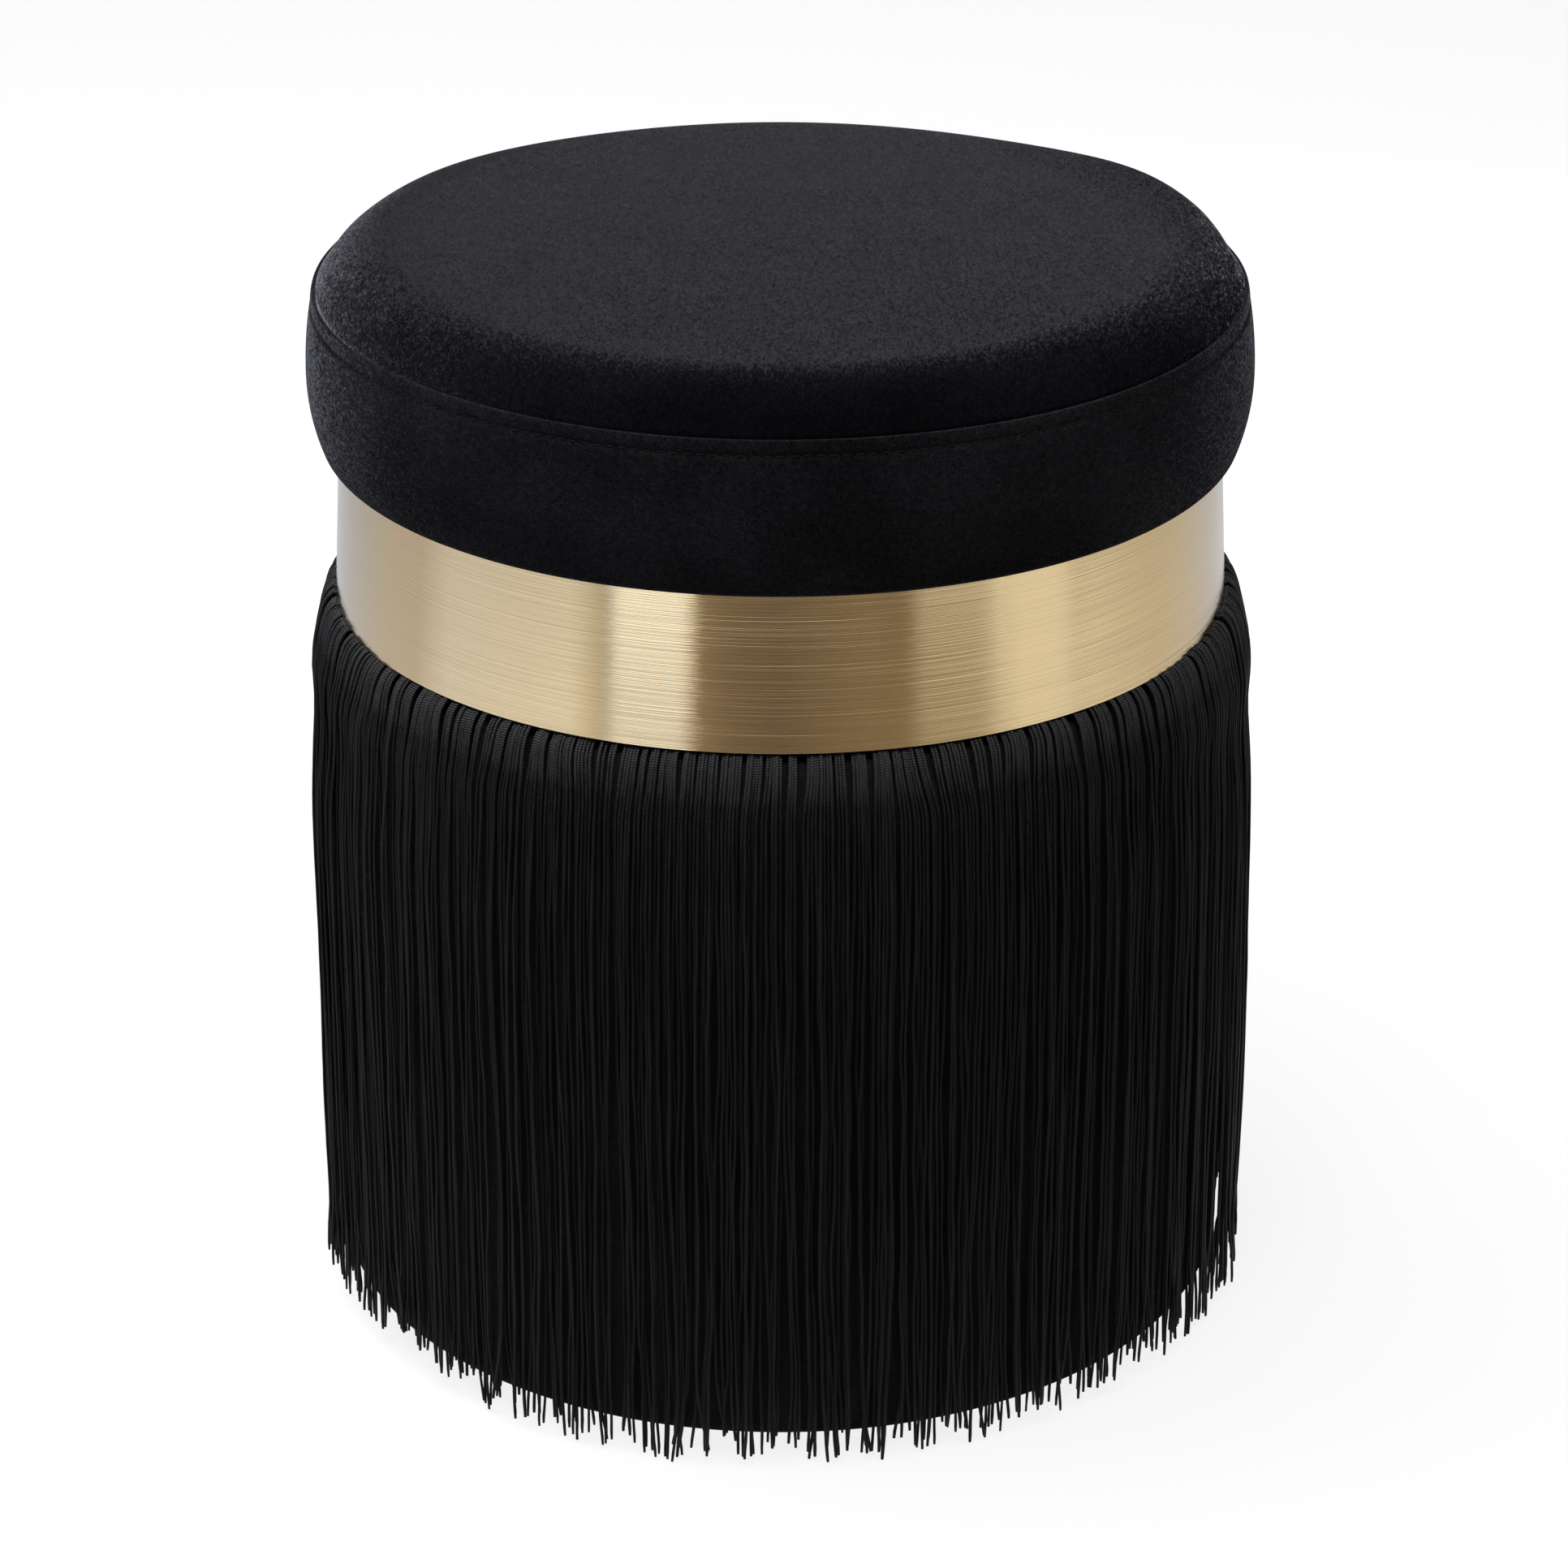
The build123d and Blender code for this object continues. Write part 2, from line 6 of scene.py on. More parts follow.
import bpy
import numpy as np
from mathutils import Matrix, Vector


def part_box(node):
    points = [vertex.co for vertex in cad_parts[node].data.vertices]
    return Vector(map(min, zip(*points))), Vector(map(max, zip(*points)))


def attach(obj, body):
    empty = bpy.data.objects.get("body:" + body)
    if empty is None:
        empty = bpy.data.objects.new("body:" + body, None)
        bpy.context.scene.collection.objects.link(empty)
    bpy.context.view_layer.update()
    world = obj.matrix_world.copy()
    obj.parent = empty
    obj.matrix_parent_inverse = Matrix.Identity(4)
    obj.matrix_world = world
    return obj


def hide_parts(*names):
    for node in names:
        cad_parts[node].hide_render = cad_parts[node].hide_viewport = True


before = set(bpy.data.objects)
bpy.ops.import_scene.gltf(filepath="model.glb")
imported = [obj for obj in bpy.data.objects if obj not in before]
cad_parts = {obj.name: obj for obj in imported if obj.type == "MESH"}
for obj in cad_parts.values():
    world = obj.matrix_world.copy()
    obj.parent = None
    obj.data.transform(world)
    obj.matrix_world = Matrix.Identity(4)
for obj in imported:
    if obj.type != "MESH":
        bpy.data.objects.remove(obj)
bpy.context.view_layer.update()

MM = 0.001
BODY = "root"
SEED = 8
UP = 1
DOWN = -1


# Sizes read from the frame
def levels(node):
    """Lowest and highest level of a node."""
    low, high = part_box(node)
    return low.z / MM, high.z / MM


def radius(node):
    """Outer radius of a node that goes round the axis."""
    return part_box(node)[1].x / MM


Z_SEAT, Z_SEAM = levels("seat_side_panel")
Z_CROWN = levels("seat_top_panel")[1]
Z_SEAT_BOARD, Z_FOAM = levels("seat_board")
Z_BAND = levels("metal_band")[0]
Z_DRUM, Z_DRUM_TOP = levels("drum_cover")
Z_WALL, Z_WALL_TOP = levels("drum_wall")
Z_TAPE, Z_TAPE_TOP = levels("fringe_heading")
Z_DUST, Z_DUST_TOP = levels("dust_cover")
SEAT_RADIUS = radius("seat_side_panel")
SEAM_RADIUS = radius("seat_top_panel")
SEAT_BOARD_RADIUS = radius("seat_board")
BAND_RADIUS = radius("metal_band")
DRUM_RADIUS = radius("drum_cover")
DRUM_BOARD_RADIUS = radius("drum_top_board")
DRUM_WALL_RADIUS = radius("drum_wall")
DUST_RADIUS = radius("dust_cover")

# Sizes of the soft parts
VELVET = 1.2
CLEARANCE = 0.1              # between a cover and what it lies on
SEAT_ROLL = 9.2              # how far the seat's side tucks in at the underside
SEAT_ROLL_RADIUS = 5.0
SEAT_BULGE = 28.0            # the seat's widest line above its underside
SEAT_HEM = 30.0
SEAM_LAP = 6.0               # topstitching below the side panel's folded edge
FOLD_RIDGE = 0.35            # how far that fold stands out, how far down, and its half width
FOLD_DEPTH = 2.2
FOLD_WIDTH = 2.4
STITCH_GROOVE = 0.5
GROOVE_WIDTH = 0.9
TOP_ROLL = 34.0              # width of the top's rolled edge
CROWN = 2.5                  # rise of the top's middle over the start of that edge
SHOULDER_WIDTH = 14.0
SHOULDER_DROP = 30.0
SHOULDER_RADIUS = 9.0
DRUM_EDGE = 10.0
DRUM_HEM = 28.0
DRUM_TOP_HEM = 19.0
WADDING_LIP = 4.0            # wadding turned in over the drum's top board
WADDING_STEP = 2.0           # where it meets the board's edge, above the wall
CORD_START = 157.0           # radius where the cords leave their tape
TAPE_GAP = 1.0
TAPE_WIDTH = 11.0
DUST_EDGE = 0.3              # the dust sheet's edge above its node's underside
DUST_SAG = 0.25
DUST_GAP = 0.02

# Levels and radii worked out from those
Z_BULGE = Z_SEAT + SEAT_BULGE
Z_STITCH = Z_SEAM - SEAM_LAP
Z_SHOULDER = Z_DRUM_TOP - SHOULDER_DROP
SEAT_FLAT = SEAT_RADIUS - SEAT_ROLL
SHOULDER_START = DRUM_RADIUS - SHOULDER_WIDTH
EDGE_START = DRUM_RADIUS - DRUM_EDGE
TAPE_RADIUS = CORD_START - TAPE_GAP
CROWN_EDGE = SEAM_RADIUS - TOP_ROLL
CROWN_ARC = (CROWN**2 + CROWN_EDGE**2) / (2 * CROWN)

# Unevenness of the seat: size, waves round it and phase; fuller places: size, angle and half width in degrees
WOBBLE = [(0.5, 2, 0.9), (0.45, 3, -0.5), (0.2, 7, 2.0)]
FULL_PLACES = [(2.9, -126, 25), (4.9, 120, 19)]
FULL_COMES = (44, 8)         # distances from the seam between which the fullness comes, and goes again
FULL_GOES = (4.5, 0.2)
FULL_LEVEL = 0.2             # how far above the seam it starts
FULL_OUT = 0.6               # its shares outwards and upwards
FULL_UP = 0.8

# Topstitching
STITCH_PITCH = 4.5
STITCH_LENGTH = 3.0
STITCH_SPREAD = (0.9, 1.1)
STITCH_RISE = 0.2
STITCH_DIVE = 0.3            # depth of a stitch's ends in the cloth
STITCH_JITTER = 0.06         # share of the pitch that a stitch is off along the seam
STITCH_STRAY = 0.06          # and how far it is off across the seam
STITCH_SLANT = 0.12
THREAD = 0.55

# Cords
CORD_COUNT = 720
CORD_WIDTH = 1.2
CORD_DEPTH = 1.1
CORD_STITCH = 0.9            # length of one knitted loop
CORD_SPREAD = (0.88, 1.1)    # sizes of whole cords, and unevenness along one
CORD_UNEVEN = 0.05
TIP_TAPER = 0.85
SECTOR_COUNT = 12
CLUMP_SIZES = [2, 3, 4, 5, 6, 8]
CLUMP_ODDS = [0.16, 0.24, 0.24, 0.18, 0.12, 0.06]
CORD_GAP = 1.3               # between cords of one clump, where they leave the band
GAP_SPREAD = (0.85, 1.15)
CLUMP_GAP = (1.6, 0.4)       # shape and scale of the gap that is added between clumps
TIP_HEIGHT = 5.2
TIP_CLUMP_SPREAD = 3.0
TIP_SPREAD = 1.5
TIP_LIMITS = (0.9, 24)
TIP_PLACES = [(8, -58, 24), (3, 45, 15)]     # where the tips are higher: size, angle and half width
CORD_FLOOR = 0.8             # lowest centre line
BAND_REACH = 0.8             # cords stay under the band as far out as this past its edge

# Cords' distance off the drum; depths are below the drum's top, shares are of the hanging length
CORD_CLEARANCE = 0.15
LAYERS = [0.0, 1.2, 2.4]
LAYER_ODDS = [0.45, 0.35, 0.2]
LAYER_SPREAD = 0.5
PRESSED = 0.35               # share of a layer's distance that is left at the shoulder
PRESSED_DEPTH = (25, 90)
FULLER = (1.0, 4.2)          # least and most that a cord gains lower down
FULLER_DEPTH = (6, 70)
FULLER_PLACES = [(2.0, 90, 35)]
FULLER_PLACES_DEPTH = (60, 170)
SWAY = 0.7
SWAY_WAVES = (90, 260)       # shortest and longest wave
SWAY_DEPTH = (30, 120)
FLUNG = (0.3, 1.1)           # mean and spread
FLUNG_SHARE = (0.86, 1.0)
LIFT = 1.7                   # rise where the cords bend, and the distance outwards over which it comes
LIFT_RUN = 6
LIFT_DEPTH = (3, 17)
PUFF_PLACES = [(2.3, -90, 40), (3.2, 90, 40)]    # where the cords stand off the shoulder
PUFF_RUN = 4
PUFF_DEPTH = (14, 48)

# Cords' distance sideways, in the same terms
DRIFT = 1.6
DRIFT_WAVES = (160, 420)
DRIFT_DEPTH = (20, 160)
WANDER = 1.1
WANDER_WAVES = (45, 200)
WANDER_DEPTH = (12, 120)
CURL = 0.3
CURL_WAVES = (28, 55)
CURL_DEPTH = (20, 60)
LEAN = 0.9
LEAN_LIMIT = 8
PULL = 0.9
PULL_COUNTS = (7, 11, 16, 23)                # waves round the drum
PULL_SPREAD = 0.6
PULL_DEPTH = (2, 24)
SQUEEZE = 0.14               # share by which a clump draws together below the band
SPLAY = 1.2
SPLAY_SHARE = (0.6, 1.0)
FRAY = 0.7
FRAY_LIMIT = 6
FRAY_SHARE = 0.9
FLICK = 0.5
FLICK_SHARE = (0.95, 1.0)

# Random waves and strays
WAVE_TERMS = 3
WAVE_SIZES = (0.3, 1)
STRAY_FREEDOM = 3            # degrees of freedom: few, so that some strays are large

# Points of the meshes
AROUND = 720                 # columns of a turned mesh
AXIS = 0.01                  # radius of a turned mesh's innermost ring
AXIS_ANGLE = 0.002           # the same on the crown's arc, in degrees
HEM_POINTS = 6
LAP_POINTS = 5
WALL_POINTS = 40
DUST_POINTS = 40
PAD_SHORT = 4                # points by which the pad ends short of the folded edge
STITCH_POINTS = 7
STITCH_SIDES = 8
CORD_SIDES = 7
FLAT_POINTS = 3              # of a cord: on the drum's top, on each arc of the shoulder, and hanging
BEND_POINTS = 11
HANG_POINTS = 34
HANG_SPREAD = 1.25           # above 1, a cord's points come closer together towards its tip

# Velvet and its pile, whose lay is the way and the share that it leans
UPRIGHT = (0, 0, 0)
SEAT_LAY = (-0.06, 0.2, 0)
SEAT_EDGE_LAY = (-0.28, -0.09, 0)
EDGE_LAY_START = 2           # how far outside the crown the rolled edge's own lay begins
EDGE_LAY_END = 6             # and how far inside the seam it is whole
NAP = (1, 0.45, 1)           # the pile's grain is longer from front to back
GRAIN = 0.5
TUFT_GROUP = 2.2
PATCH = 42.0
TUFT = 0.75
TUFT_TILT = 0.34             # how far single tufts lean astray

# Other materials
SPOTS = (0.3, 0.7)           # the middle of a noise's range, which is what it mostly takes up
YARN_DARK = (0.0011, 0.0011, 0.0013)
YARN_LIGHT = (0.058, 0.059, 0.064)
YARN_CHEVRONS = 4.0          # round a cord
YARN_SHADE = 1.6             # width of what has one shade, which stays much the same down a cord
YARN_STRETCH = (1, 1, 0.02)
YARN_FIBRE = 0.3
YARN_PAINTED_HIGHLIGHT = (10.0, 28.0)     # lengths along a cord over which the painted highlight at its bend fades out
BRASS_DARK = (0.70, 0.56, 0.35)
BRASS_LIGHT = (0.76, 0.61, 0.385)
WOOD_GRAIN = (0.25, 1, 5)    # spots of plywood are long one way, and thin through its layers

# Studio, in metres
FLOOR_HALF = 30.0
FLOOR_GLOW = 0.85            # share of its own white in what the eye sees of the floor
ROOM_LIGHT = 0.02
AIM = (0, 0, 0.3)
STRIP_HEIGHT = 0.22
CLOTH_RADII = (0.34, 0.78, 1.5, 4.0)
CLOTH_SECTIONS = 96
CLOTH_HEIGHT = 0.001

# Studio cloths: angle in degrees, and the colour there; one for the middle ring, one for those on both sides
MIDDLE_SHADES = [
    (-180, (0.56, 0.59, 0.67)), (-132, (0.42, 0.45, 0.53)), (-114, (0.43, 0.44, 0.47)),
    (-110, (0.44, 0.43, 0.44)), (-97, (0.44, 0.43, 0.44)), (-86, (0.58, 0.60, 0.65)),
    (-62, (0.69, 0.70, 0.72)), (-50, (0.75, 0.76, 0.78)), (-45.5, (0.62, 0.60, 0.55)),
    (-42, (0.46, 0.42, 0.33)), (-41.3, (0.46, 0.48, 0.51)), (-21.7, (0.46, 0.48, 0.51)),
    (-21.2, (0.27, 0.215, 0.15)), (-12, (0.155, 0.12, 0.083)), (0, (0.118, 0.09, 0.061)),
    (28, (0.255, 0.197, 0.128)), (38, (0.29, 0.245, 0.17)), (47, (0.34, 0.30, 0.22)),
    (57.5, (0.86, 0.83, 0.72)), (66, (0.90, 0.87, 0.775)), (80, (0.93, 0.90, 0.81)),
    (101, (0.80, 0.735, 0.63)), (130, (0.66, 0.68, 0.745)), (180, (0.56, 0.59, 0.67)),
]
OTHER_SHADES = [
    (-180, (0.42, 0.44, 0.50)), (-132, (0.44, 0.47, 0.55)), (-97, (0.46, 0.45, 0.46)),
    (-86, (0.60, 0.62, 0.66)), (-47, (0.56, 0.56, 0.56)), (-21.6, (0.40, 0.41, 0.42)),
    (-20.6, (0.19, 0.15, 0.105)), (-8, (0.125, 0.097, 0.068)), (28, (0.18, 0.144, 0.096)),
    (60, (0.42, 0.40, 0.35)), (140, (0.42, 0.42, 0.47)), (180, (0.42, 0.44, 0.50)),
]

# Camera, in metres: its tilt is in degrees below level
CAMERA_PLACE = (0, -1.7054, 0.968)
CAMERA_TILT = 24.40
CAMERA_SHIFT = 0.0023
LENS = 111.8
SENSOR = 36.0


# Shapes of numbers
def smooth_step(value, start, end):
    """0 up to start, 1 from end on, and an S curve between them; start may be the larger."""
    share = np.clip((value - start) / (end - start), 0, 1)
    return share * share * (3 - 2 * share)


def near(turn, middle, width):
    """1 at an angle, falling to 0 on both sides of it; the angles are in degrees, and turn in radians."""
    away = (np.degrees(turn) - middle + 180) % 360 - 180
    return np.exp(-((away / width) ** 2))


def near_places(turn, places):
    """What several places add at an angle, from the size, middle and half width of each."""
    return sum(size * near(turn, middle, width) for size, middle, width in places)


def unit(ways):
    """Directions at length 1."""
    return ways / np.linalg.norm(ways, axis=-1, keepdims=True)


def round_axis(r, z, turn):
    """Points at a radius, height and angle."""
    r, z, turn = np.broadcast_arrays(r, z, turn)
    return np.stack([r * np.sin(turn), -r * np.cos(turn), z], axis=-1)


# Meshes
def grid_mesh(name, grids, uv=None, ring=False):
    """Object made of grids of points, grids x rows x columns x 3 in millimetres, closed round the columns.
    The rows close too where ring is set, and otherwise each end row is filled."""
    grids = np.asarray(grids, float)
    count, rows, columns = grids.shape[:3]
    index = np.arange(count * rows * columns).reshape(count, rows, columns)
    if ring:
        index = np.concatenate([index, index[:, :1]], axis=1)
    across = np.roll(index, -1, axis=2)
    quads = np.stack([index[:, :-1], across[:, :-1], across[:, 1:], index[:, 1:]], axis=-1).reshape(-1, 4)
    loops = [quads.ravel()]
    sizes = [np.full(len(quads), 4)]
    if not ring:
        loops += [index[:, 0, ::-1].ravel(), index[:, -1].ravel()]
        sizes += [np.full(2 * count, columns)]
    loops = np.concatenate(loops)
    sizes = np.concatenate(sizes)
    mesh = bpy.data.meshes.new(name)
    mesh.vertices.add(count * rows * columns)
    mesh.vertices.foreach_set("co", (grids * MM).astype(np.float32).ravel())
    mesh.loops.add(len(loops))
    mesh.loops.foreach_set("vertex_index", loops.astype(np.int32))
    mesh.polygons.add(len(sizes))
    starts = np.concatenate([[0], np.cumsum(sizes)[:-1]])
    mesh.polygons.foreach_set("loop_start", starts.astype(np.int32))
    mesh.update(calc_edges=True)
    mesh.validate()
    mesh.shade_smooth()
    if uv is not None:
        layer = mesh.uv_layers.new(name="along")
        layer.data.foreach_set("uv", uv(loops, len(quads)).astype(np.float32).ravel())
    piece = bpy.data.objects.new(name, mesh)
    bpy.context.scene.collection.objects.link(piece)
    return piece


def turned_mesh(name, profile, shape=None, ring=True):
    """Object turned about the axis from a list of (radius, height), whose points shape may move."""
    profile = np.asarray(profile, float)
    turn = np.linspace(0, 2 * math.pi, AROUND, endpoint=False)
    r = np.repeat(profile[:, :1], AROUND, axis=1)
    z = np.repeat(profile[:, 1:], AROUND, axis=1)
    if shape is not None:
        r, z = shape(r, z, turn[None, :])
    return grid_mesh(name, round_axis(r, z, turn)[None], ring=ring)


def arc(centre, size, start, end, count):
    """Points on an arc, between two angles in degrees from the radius outwards."""
    turn = np.radians(np.linspace(start, end, count))
    return np.stack([centre[0] + size * np.cos(turn), centre[1] + size * np.sin(turn)], axis=-1)


def tangent_arc(start, slope, end, count):
    """Points on the arc that leaves start at a downward slope, in degrees, and reaches end."""
    run = end[0] - start[0]
    fall = start[1] - end[1]
    chord = math.degrees(math.atan2(fall, run))
    size = math.hypot(run, fall) / (2 * math.sin(math.radians(chord - slope)))
    lean = math.radians(slope)
    centre = (start[0] - size * math.sin(lean), start[1] - size * math.cos(lean))
    return arc(centre, size, 90 - slope, 90 - 2 * chord + slope, count)


def oval(middle, width, height, tight, way, inset, count=16):
    """Quarter of an oval in two arcs, from upright at the side to level at the end; way is UP or DOWN."""
    wide = (width**2 + height**2 - 2 * height * tight) / (2 * (width - tight))
    turn = way * math.degrees(math.atan2(height - tight, wide - width))
    side = arc((middle[0] + width - wide, middle[1]), wide - inset, 0, turn, count)
    end = arc((middle[0], middle[1] + way * (height - tight)), tight - inset, turn, way * 90, count)
    return np.concatenate([side, end[1:]])


def finish_piece(piece, material, *nodes, slot=None):
    """Gives a piece its material and body, and hides the nodes that it stands for; slot is not used."""
    piece.data.materials.append(material)
    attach(piece, BODY)
    if nodes:
        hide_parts(*nodes)
    return piece


# Materials
class Nodes:
    """A material's node tree, with short calls to add to it."""

    def __init__(self, name):
        self.material = bpy.data.materials.new(name)
        self.material.use_nodes = True
        self.tree = self.material.node_tree
        self.shader = self.tree.nodes["Principled BSDF"]

    def add(self, kind, settings=None, **inputs):
        """A node with its settings and inputs, which have _ for a space in their names."""
        node = self.tree.nodes.new(kind)
        for key, value in (settings or {}).items():
            setattr(node, key, value)
        for key, value in inputs.items():
            self.feed(node.inputs[key.replace("_", " ")], value)
        return node

    def feed(self, socket, value):
        """Links a socket, or sets its own value."""
        if isinstance(value, bpy.types.NodeSocket):
            self.tree.links.new(value, socket)
        else:
            socket.default_value = value

    def set(self, **inputs):
        """The shader's own inputs."""
        for key, value in inputs.items():
            self.feed(self.shader.inputs[key.replace("_", " ")], value)

    def operate(self, kind, operation, values):
        """Outputs of a node that does one operation on some values."""
        node = self.add(kind, {"operation": operation})
        for socket, value in zip(node.inputs, values):
            self.feed(socket, value)
        return node.outputs

    def math(self, operation, *values):
        """Result of an operation on numbers."""
        return self.operate("ShaderNodeMath", operation, values)["Value"]

    def vector(self, operation, *values):
        """Result of an operation on vectors."""
        return self.operate("ShaderNodeVectorMath", operation, values)["Vector"]

    def place(self, stretch=(1, 1, 1)):
        """Object coordinates in millimetres, stretched."""
        place = self.add("ShaderNodeTexCoord").outputs["Object"]
        scale = tuple(s / MM for s in stretch)
        return self.add("ShaderNodeMapping", Vector=place, Scale=scale).outputs["Vector"]

    def from_axis(self):
        """Distance from the axis, in millimetres."""
        flat = self.place((1, 1, 0))
        return self.operate("ShaderNodeVectorMath", "LENGTH", [flat])["Value"]

    def turn(self, parts):
        """Angle round the axis, in radians, from separated coordinates."""
        return self.math("ARCTAN2", parts["X"], self.math("MULTIPLY", parts["Y"], -1.0))

    def noise(self, place, size, detail=1.0, roughness=0.5):
        """Noise whose spots are about size millimetres wide."""
        values = {"Scale": 1 / size, "Detail": detail, "Roughness": roughness}
        return self.add("ShaderNodeTexNoise", Vector=place, **values).outputs["Fac"]

    def ramp(self, value, low, high, from_low=0.0, from_high=1.0):
        """A value moved from one range to another, and kept inside it."""
        ranges = {"From_Min": from_low, "From_Max": from_high, "To_Min": low, "To_Max": high}
        return self.add("ShaderNodeMapRange", Value=value, **ranges).outputs["Result"]

    def blend(self, share, first, second):
        """Colour between two, by a share."""
        node = self.add("ShaderNodeMix", {"data_type": "RGBA"})
        self.feed(node.inputs["Factor"], share)
        self.feed(node.inputs["A"], (*first, 1.0))
        self.feed(node.inputs["B"], (*second, 1.0))
        return node.outputs["Result"]

    def bump(self, height, depth, strength=1.0):
        """Bump node for a height that runs from 0 to 1 over depth millimetres."""
        return self.add("ShaderNodeBump", Height=height, Distance=depth * MM, Strength=strength)


def velvet(name, dark, light, tint, sheen, lay=UPRIGHT, edge_lay=UPRIGHT):
    """Short cut pile: near black, with fine grain, brushed patches, and sheen where the pile is seen aslant.
    lay is how the pile leans, and edge_lay how it leans at the seat's rolled edge."""
    n = Nodes(name)
    along = n.place(NAP)
    grain = n.noise(along, GRAIN, roughness=0.6)
    tufts = n.noise(along, TUFT_GROUP)
    patches = n.noise(n.place(), PATCH)
    speckle = n.math("MULTIPLY", n.ramp(grain, 0.3, 1.7, *SPOTS), n.ramp(tufts, 0.75, 1.25, *SPOTS))
    shade = n.math("MULTIPLY", speckle, n.ramp(patches, 0.7, 1.3, 0.35, 0.65))
    n.set(Base_Color=n.blend(n.ramp(shade, 0.0, 1.0, 0.2, 2.2), dark, light))
    n.set(Roughness=n.ramp(grain, 0.8, 1.0), Specular_IOR_Level=0.0)
    n.set(Sheen_Weight=sheen, Sheen_Roughness=0.31, Sheen_Tint=(*tint, 1.0))

    # Pile: bumps, then each tuft's own tilt and the lay
    leaning = n.bump(patches, 1.6, strength=0.6)
    pile = n.bump(n.math("MULTIPLY_ADD", grain, 0.7, n.math("MULTIPLY", tufts, 0.2)), 0.3)
    n.feed(pile.inputs["Normal"], leaning.outputs["Normal"])
    tufted = n.add("ShaderNodeTexVoronoi", Vector=along, Scale=1 / TUFT).outputs["Color"]
    rolled = n.ramp(n.from_axis(), 0.0, 1.0, CROWN_EDGE + EDGE_LAY_START, SEAM_RADIUS - EDGE_LAY_END)
    change = tuple(edge - flat for edge, flat in zip(edge_lay, lay))
    leant = n.vector("MULTIPLY_ADD", rolled, change, tuple(flat - TUFT_TILT / 2 for flat in lay))
    astray = n.vector("MULTIPLY_ADD", tufted, (TUFT_TILT,) * 3, leant)
    n.set(Normal=n.vector("NORMALIZE", n.vector("ADD", pile.outputs["Normal"], astray)))
    return n.material


def cord_yarn():
    """Knitted cord: chevrons of loops along it, a shade for each cord, and a painted highlight that makes it
    paler at the bend.
    """
    n = Nodes("fringe_yarn")
    way = n.add("ShaderNodeUVMap", {"uv_map": "along"}).outputs["UV"]
    way = n.add("ShaderNodeSeparateXYZ", Vector=way).outputs
    zigzag = n.math("PINGPONG", n.math("MULTIPLY", way["X"], YARN_CHEVRONS), 0.5)
    rows = n.math("MULTIPLY", way["Y"], 1 / CORD_STITCH)
    loops = n.math("SINE", n.math("MULTIPLY", n.math("ADD", rows, zigzag), 2 * math.pi))
    loops = n.ramp(loops, 0.0, 1.0, -1.0, 1.0)
    own = n.ramp(n.noise(n.place(YARN_STRETCH), YARN_SHADE), 0.6, 1.4, *SPOTS)
    fibres = n.ramp(n.noise(n.place(), YARN_FIBRE), 0.2, 1.8, *SPOTS)
    shade = n.math("MULTIPLY", n.math("MULTIPLY", n.ramp(loops, -0.9, 2.7), fibres), own)
    # Painted highlight: near the bend over the shoulder the yarn's shade is multiplied by up to 6.6, falling
    # to 1 further down, in place of the light that the bend catches
    painted_highlight = n.ramp(way["Y"], 6.6, 1.0, *YARN_PAINTED_HIGHLIGHT)
    light = n.ramp(n.math("MULTIPLY", shade, painted_highlight), 0.0, 1.0, 0.2, 7.8)
    n.set(Base_Color=n.blend(light, YARN_DARK, YARN_LIGHT))
    n.set(Roughness=n.ramp(loops, 0.5, 0.4), Specular_IOR_Level=0.06)
    n.set(Normal=n.bump(loops, 0.16).outputs["Normal"])
    return n.material


def brushed_brass():
    """Brass-coloured sheet, brushed round the band in fine lines of differing length."""
    n = Nodes("brushed_brass")
    parts = n.add("ShaderNodeSeparateXYZ", Vector=n.place()).outputs
    arc_length = n.math("MULTIPLY", n.turn(parts), BAND_RADIUS)

    def lines(long, high, shift):
        """Noise in lines of one length and height; shift makes it another one."""
        place = n.add("ShaderNodeCombineXYZ", X=n.math("DIVIDE", arc_length, long), Z=shift)
        n.feed(place.inputs["Y"], n.math("DIVIDE", parts["Z"], high))
        return n.noise(place.outputs["Vector"], 1.0, detail=2.0, roughness=0.6)

    fine = lines(long=200.0, high=0.4, shift=1.0)
    coarse = lines(long=600.0, high=1.0, shift=5.0)
    streak = n.math("ADD", n.math("MULTIPLY", fine, 0.5), n.math("MULTIPLY", coarse, 0.5))
    n.set(Base_Color=n.blend(n.ramp(streak, 0.0, 1.0, *SPOTS), BRASS_DARK, BRASS_LIGHT))
    n.set(Metallic=1.0, Roughness=n.ramp(streak, 0.08, 0.13, *SPOTS))
    n.set(Anisotropic=0.93, Anisotropic_Rotation=0.25)
    tangent = n.add("ShaderNodeTangent", {"direction_type": "RADIAL", "axis": "Z"})
    n.set(Tangent=tangent.outputs["Tangent"], Normal=n.bump(streak, 0.1).outputs["Normal"])
    return n.material


def plain(name, first, second, size, roughness, stretch=(1, 1, 1), metallic=0.0, specular=0.5):
    """Two colours in spots of one size, with a little relief, for what is out of sight or small."""
    n = Nodes(name)
    spots = n.noise(n.place(stretch), size, detail=4.0, roughness=0.6)
    n.set(Base_Color=n.blend(n.ramp(spots, 0.0, 1.0, *SPOTS), first, second))
    n.set(Roughness=n.ramp(spots, roughness - 0.08, roughness + 0.08, *SPOTS))
    n.set(Metallic=metallic, Specular_IOR_Level=specular)
    n.set(Normal=n.bump(spots, 0.1, strength=0.5).outputs["Normal"])
    return n.material


# Seat
def seat_wobble(r, z, turn):
    """The seat's small departures from a true round, none at the band and most at the seam."""
    share = np.clip((z - Z_SEAT) / (Z_SEAM - Z_SEAT), 0, 1)
    lean = sum(size * np.cos(count * turn + phase) for size, count, phase in WOBBLE)
    return r * (1 + share * lean / SEAT_RADIUS), z


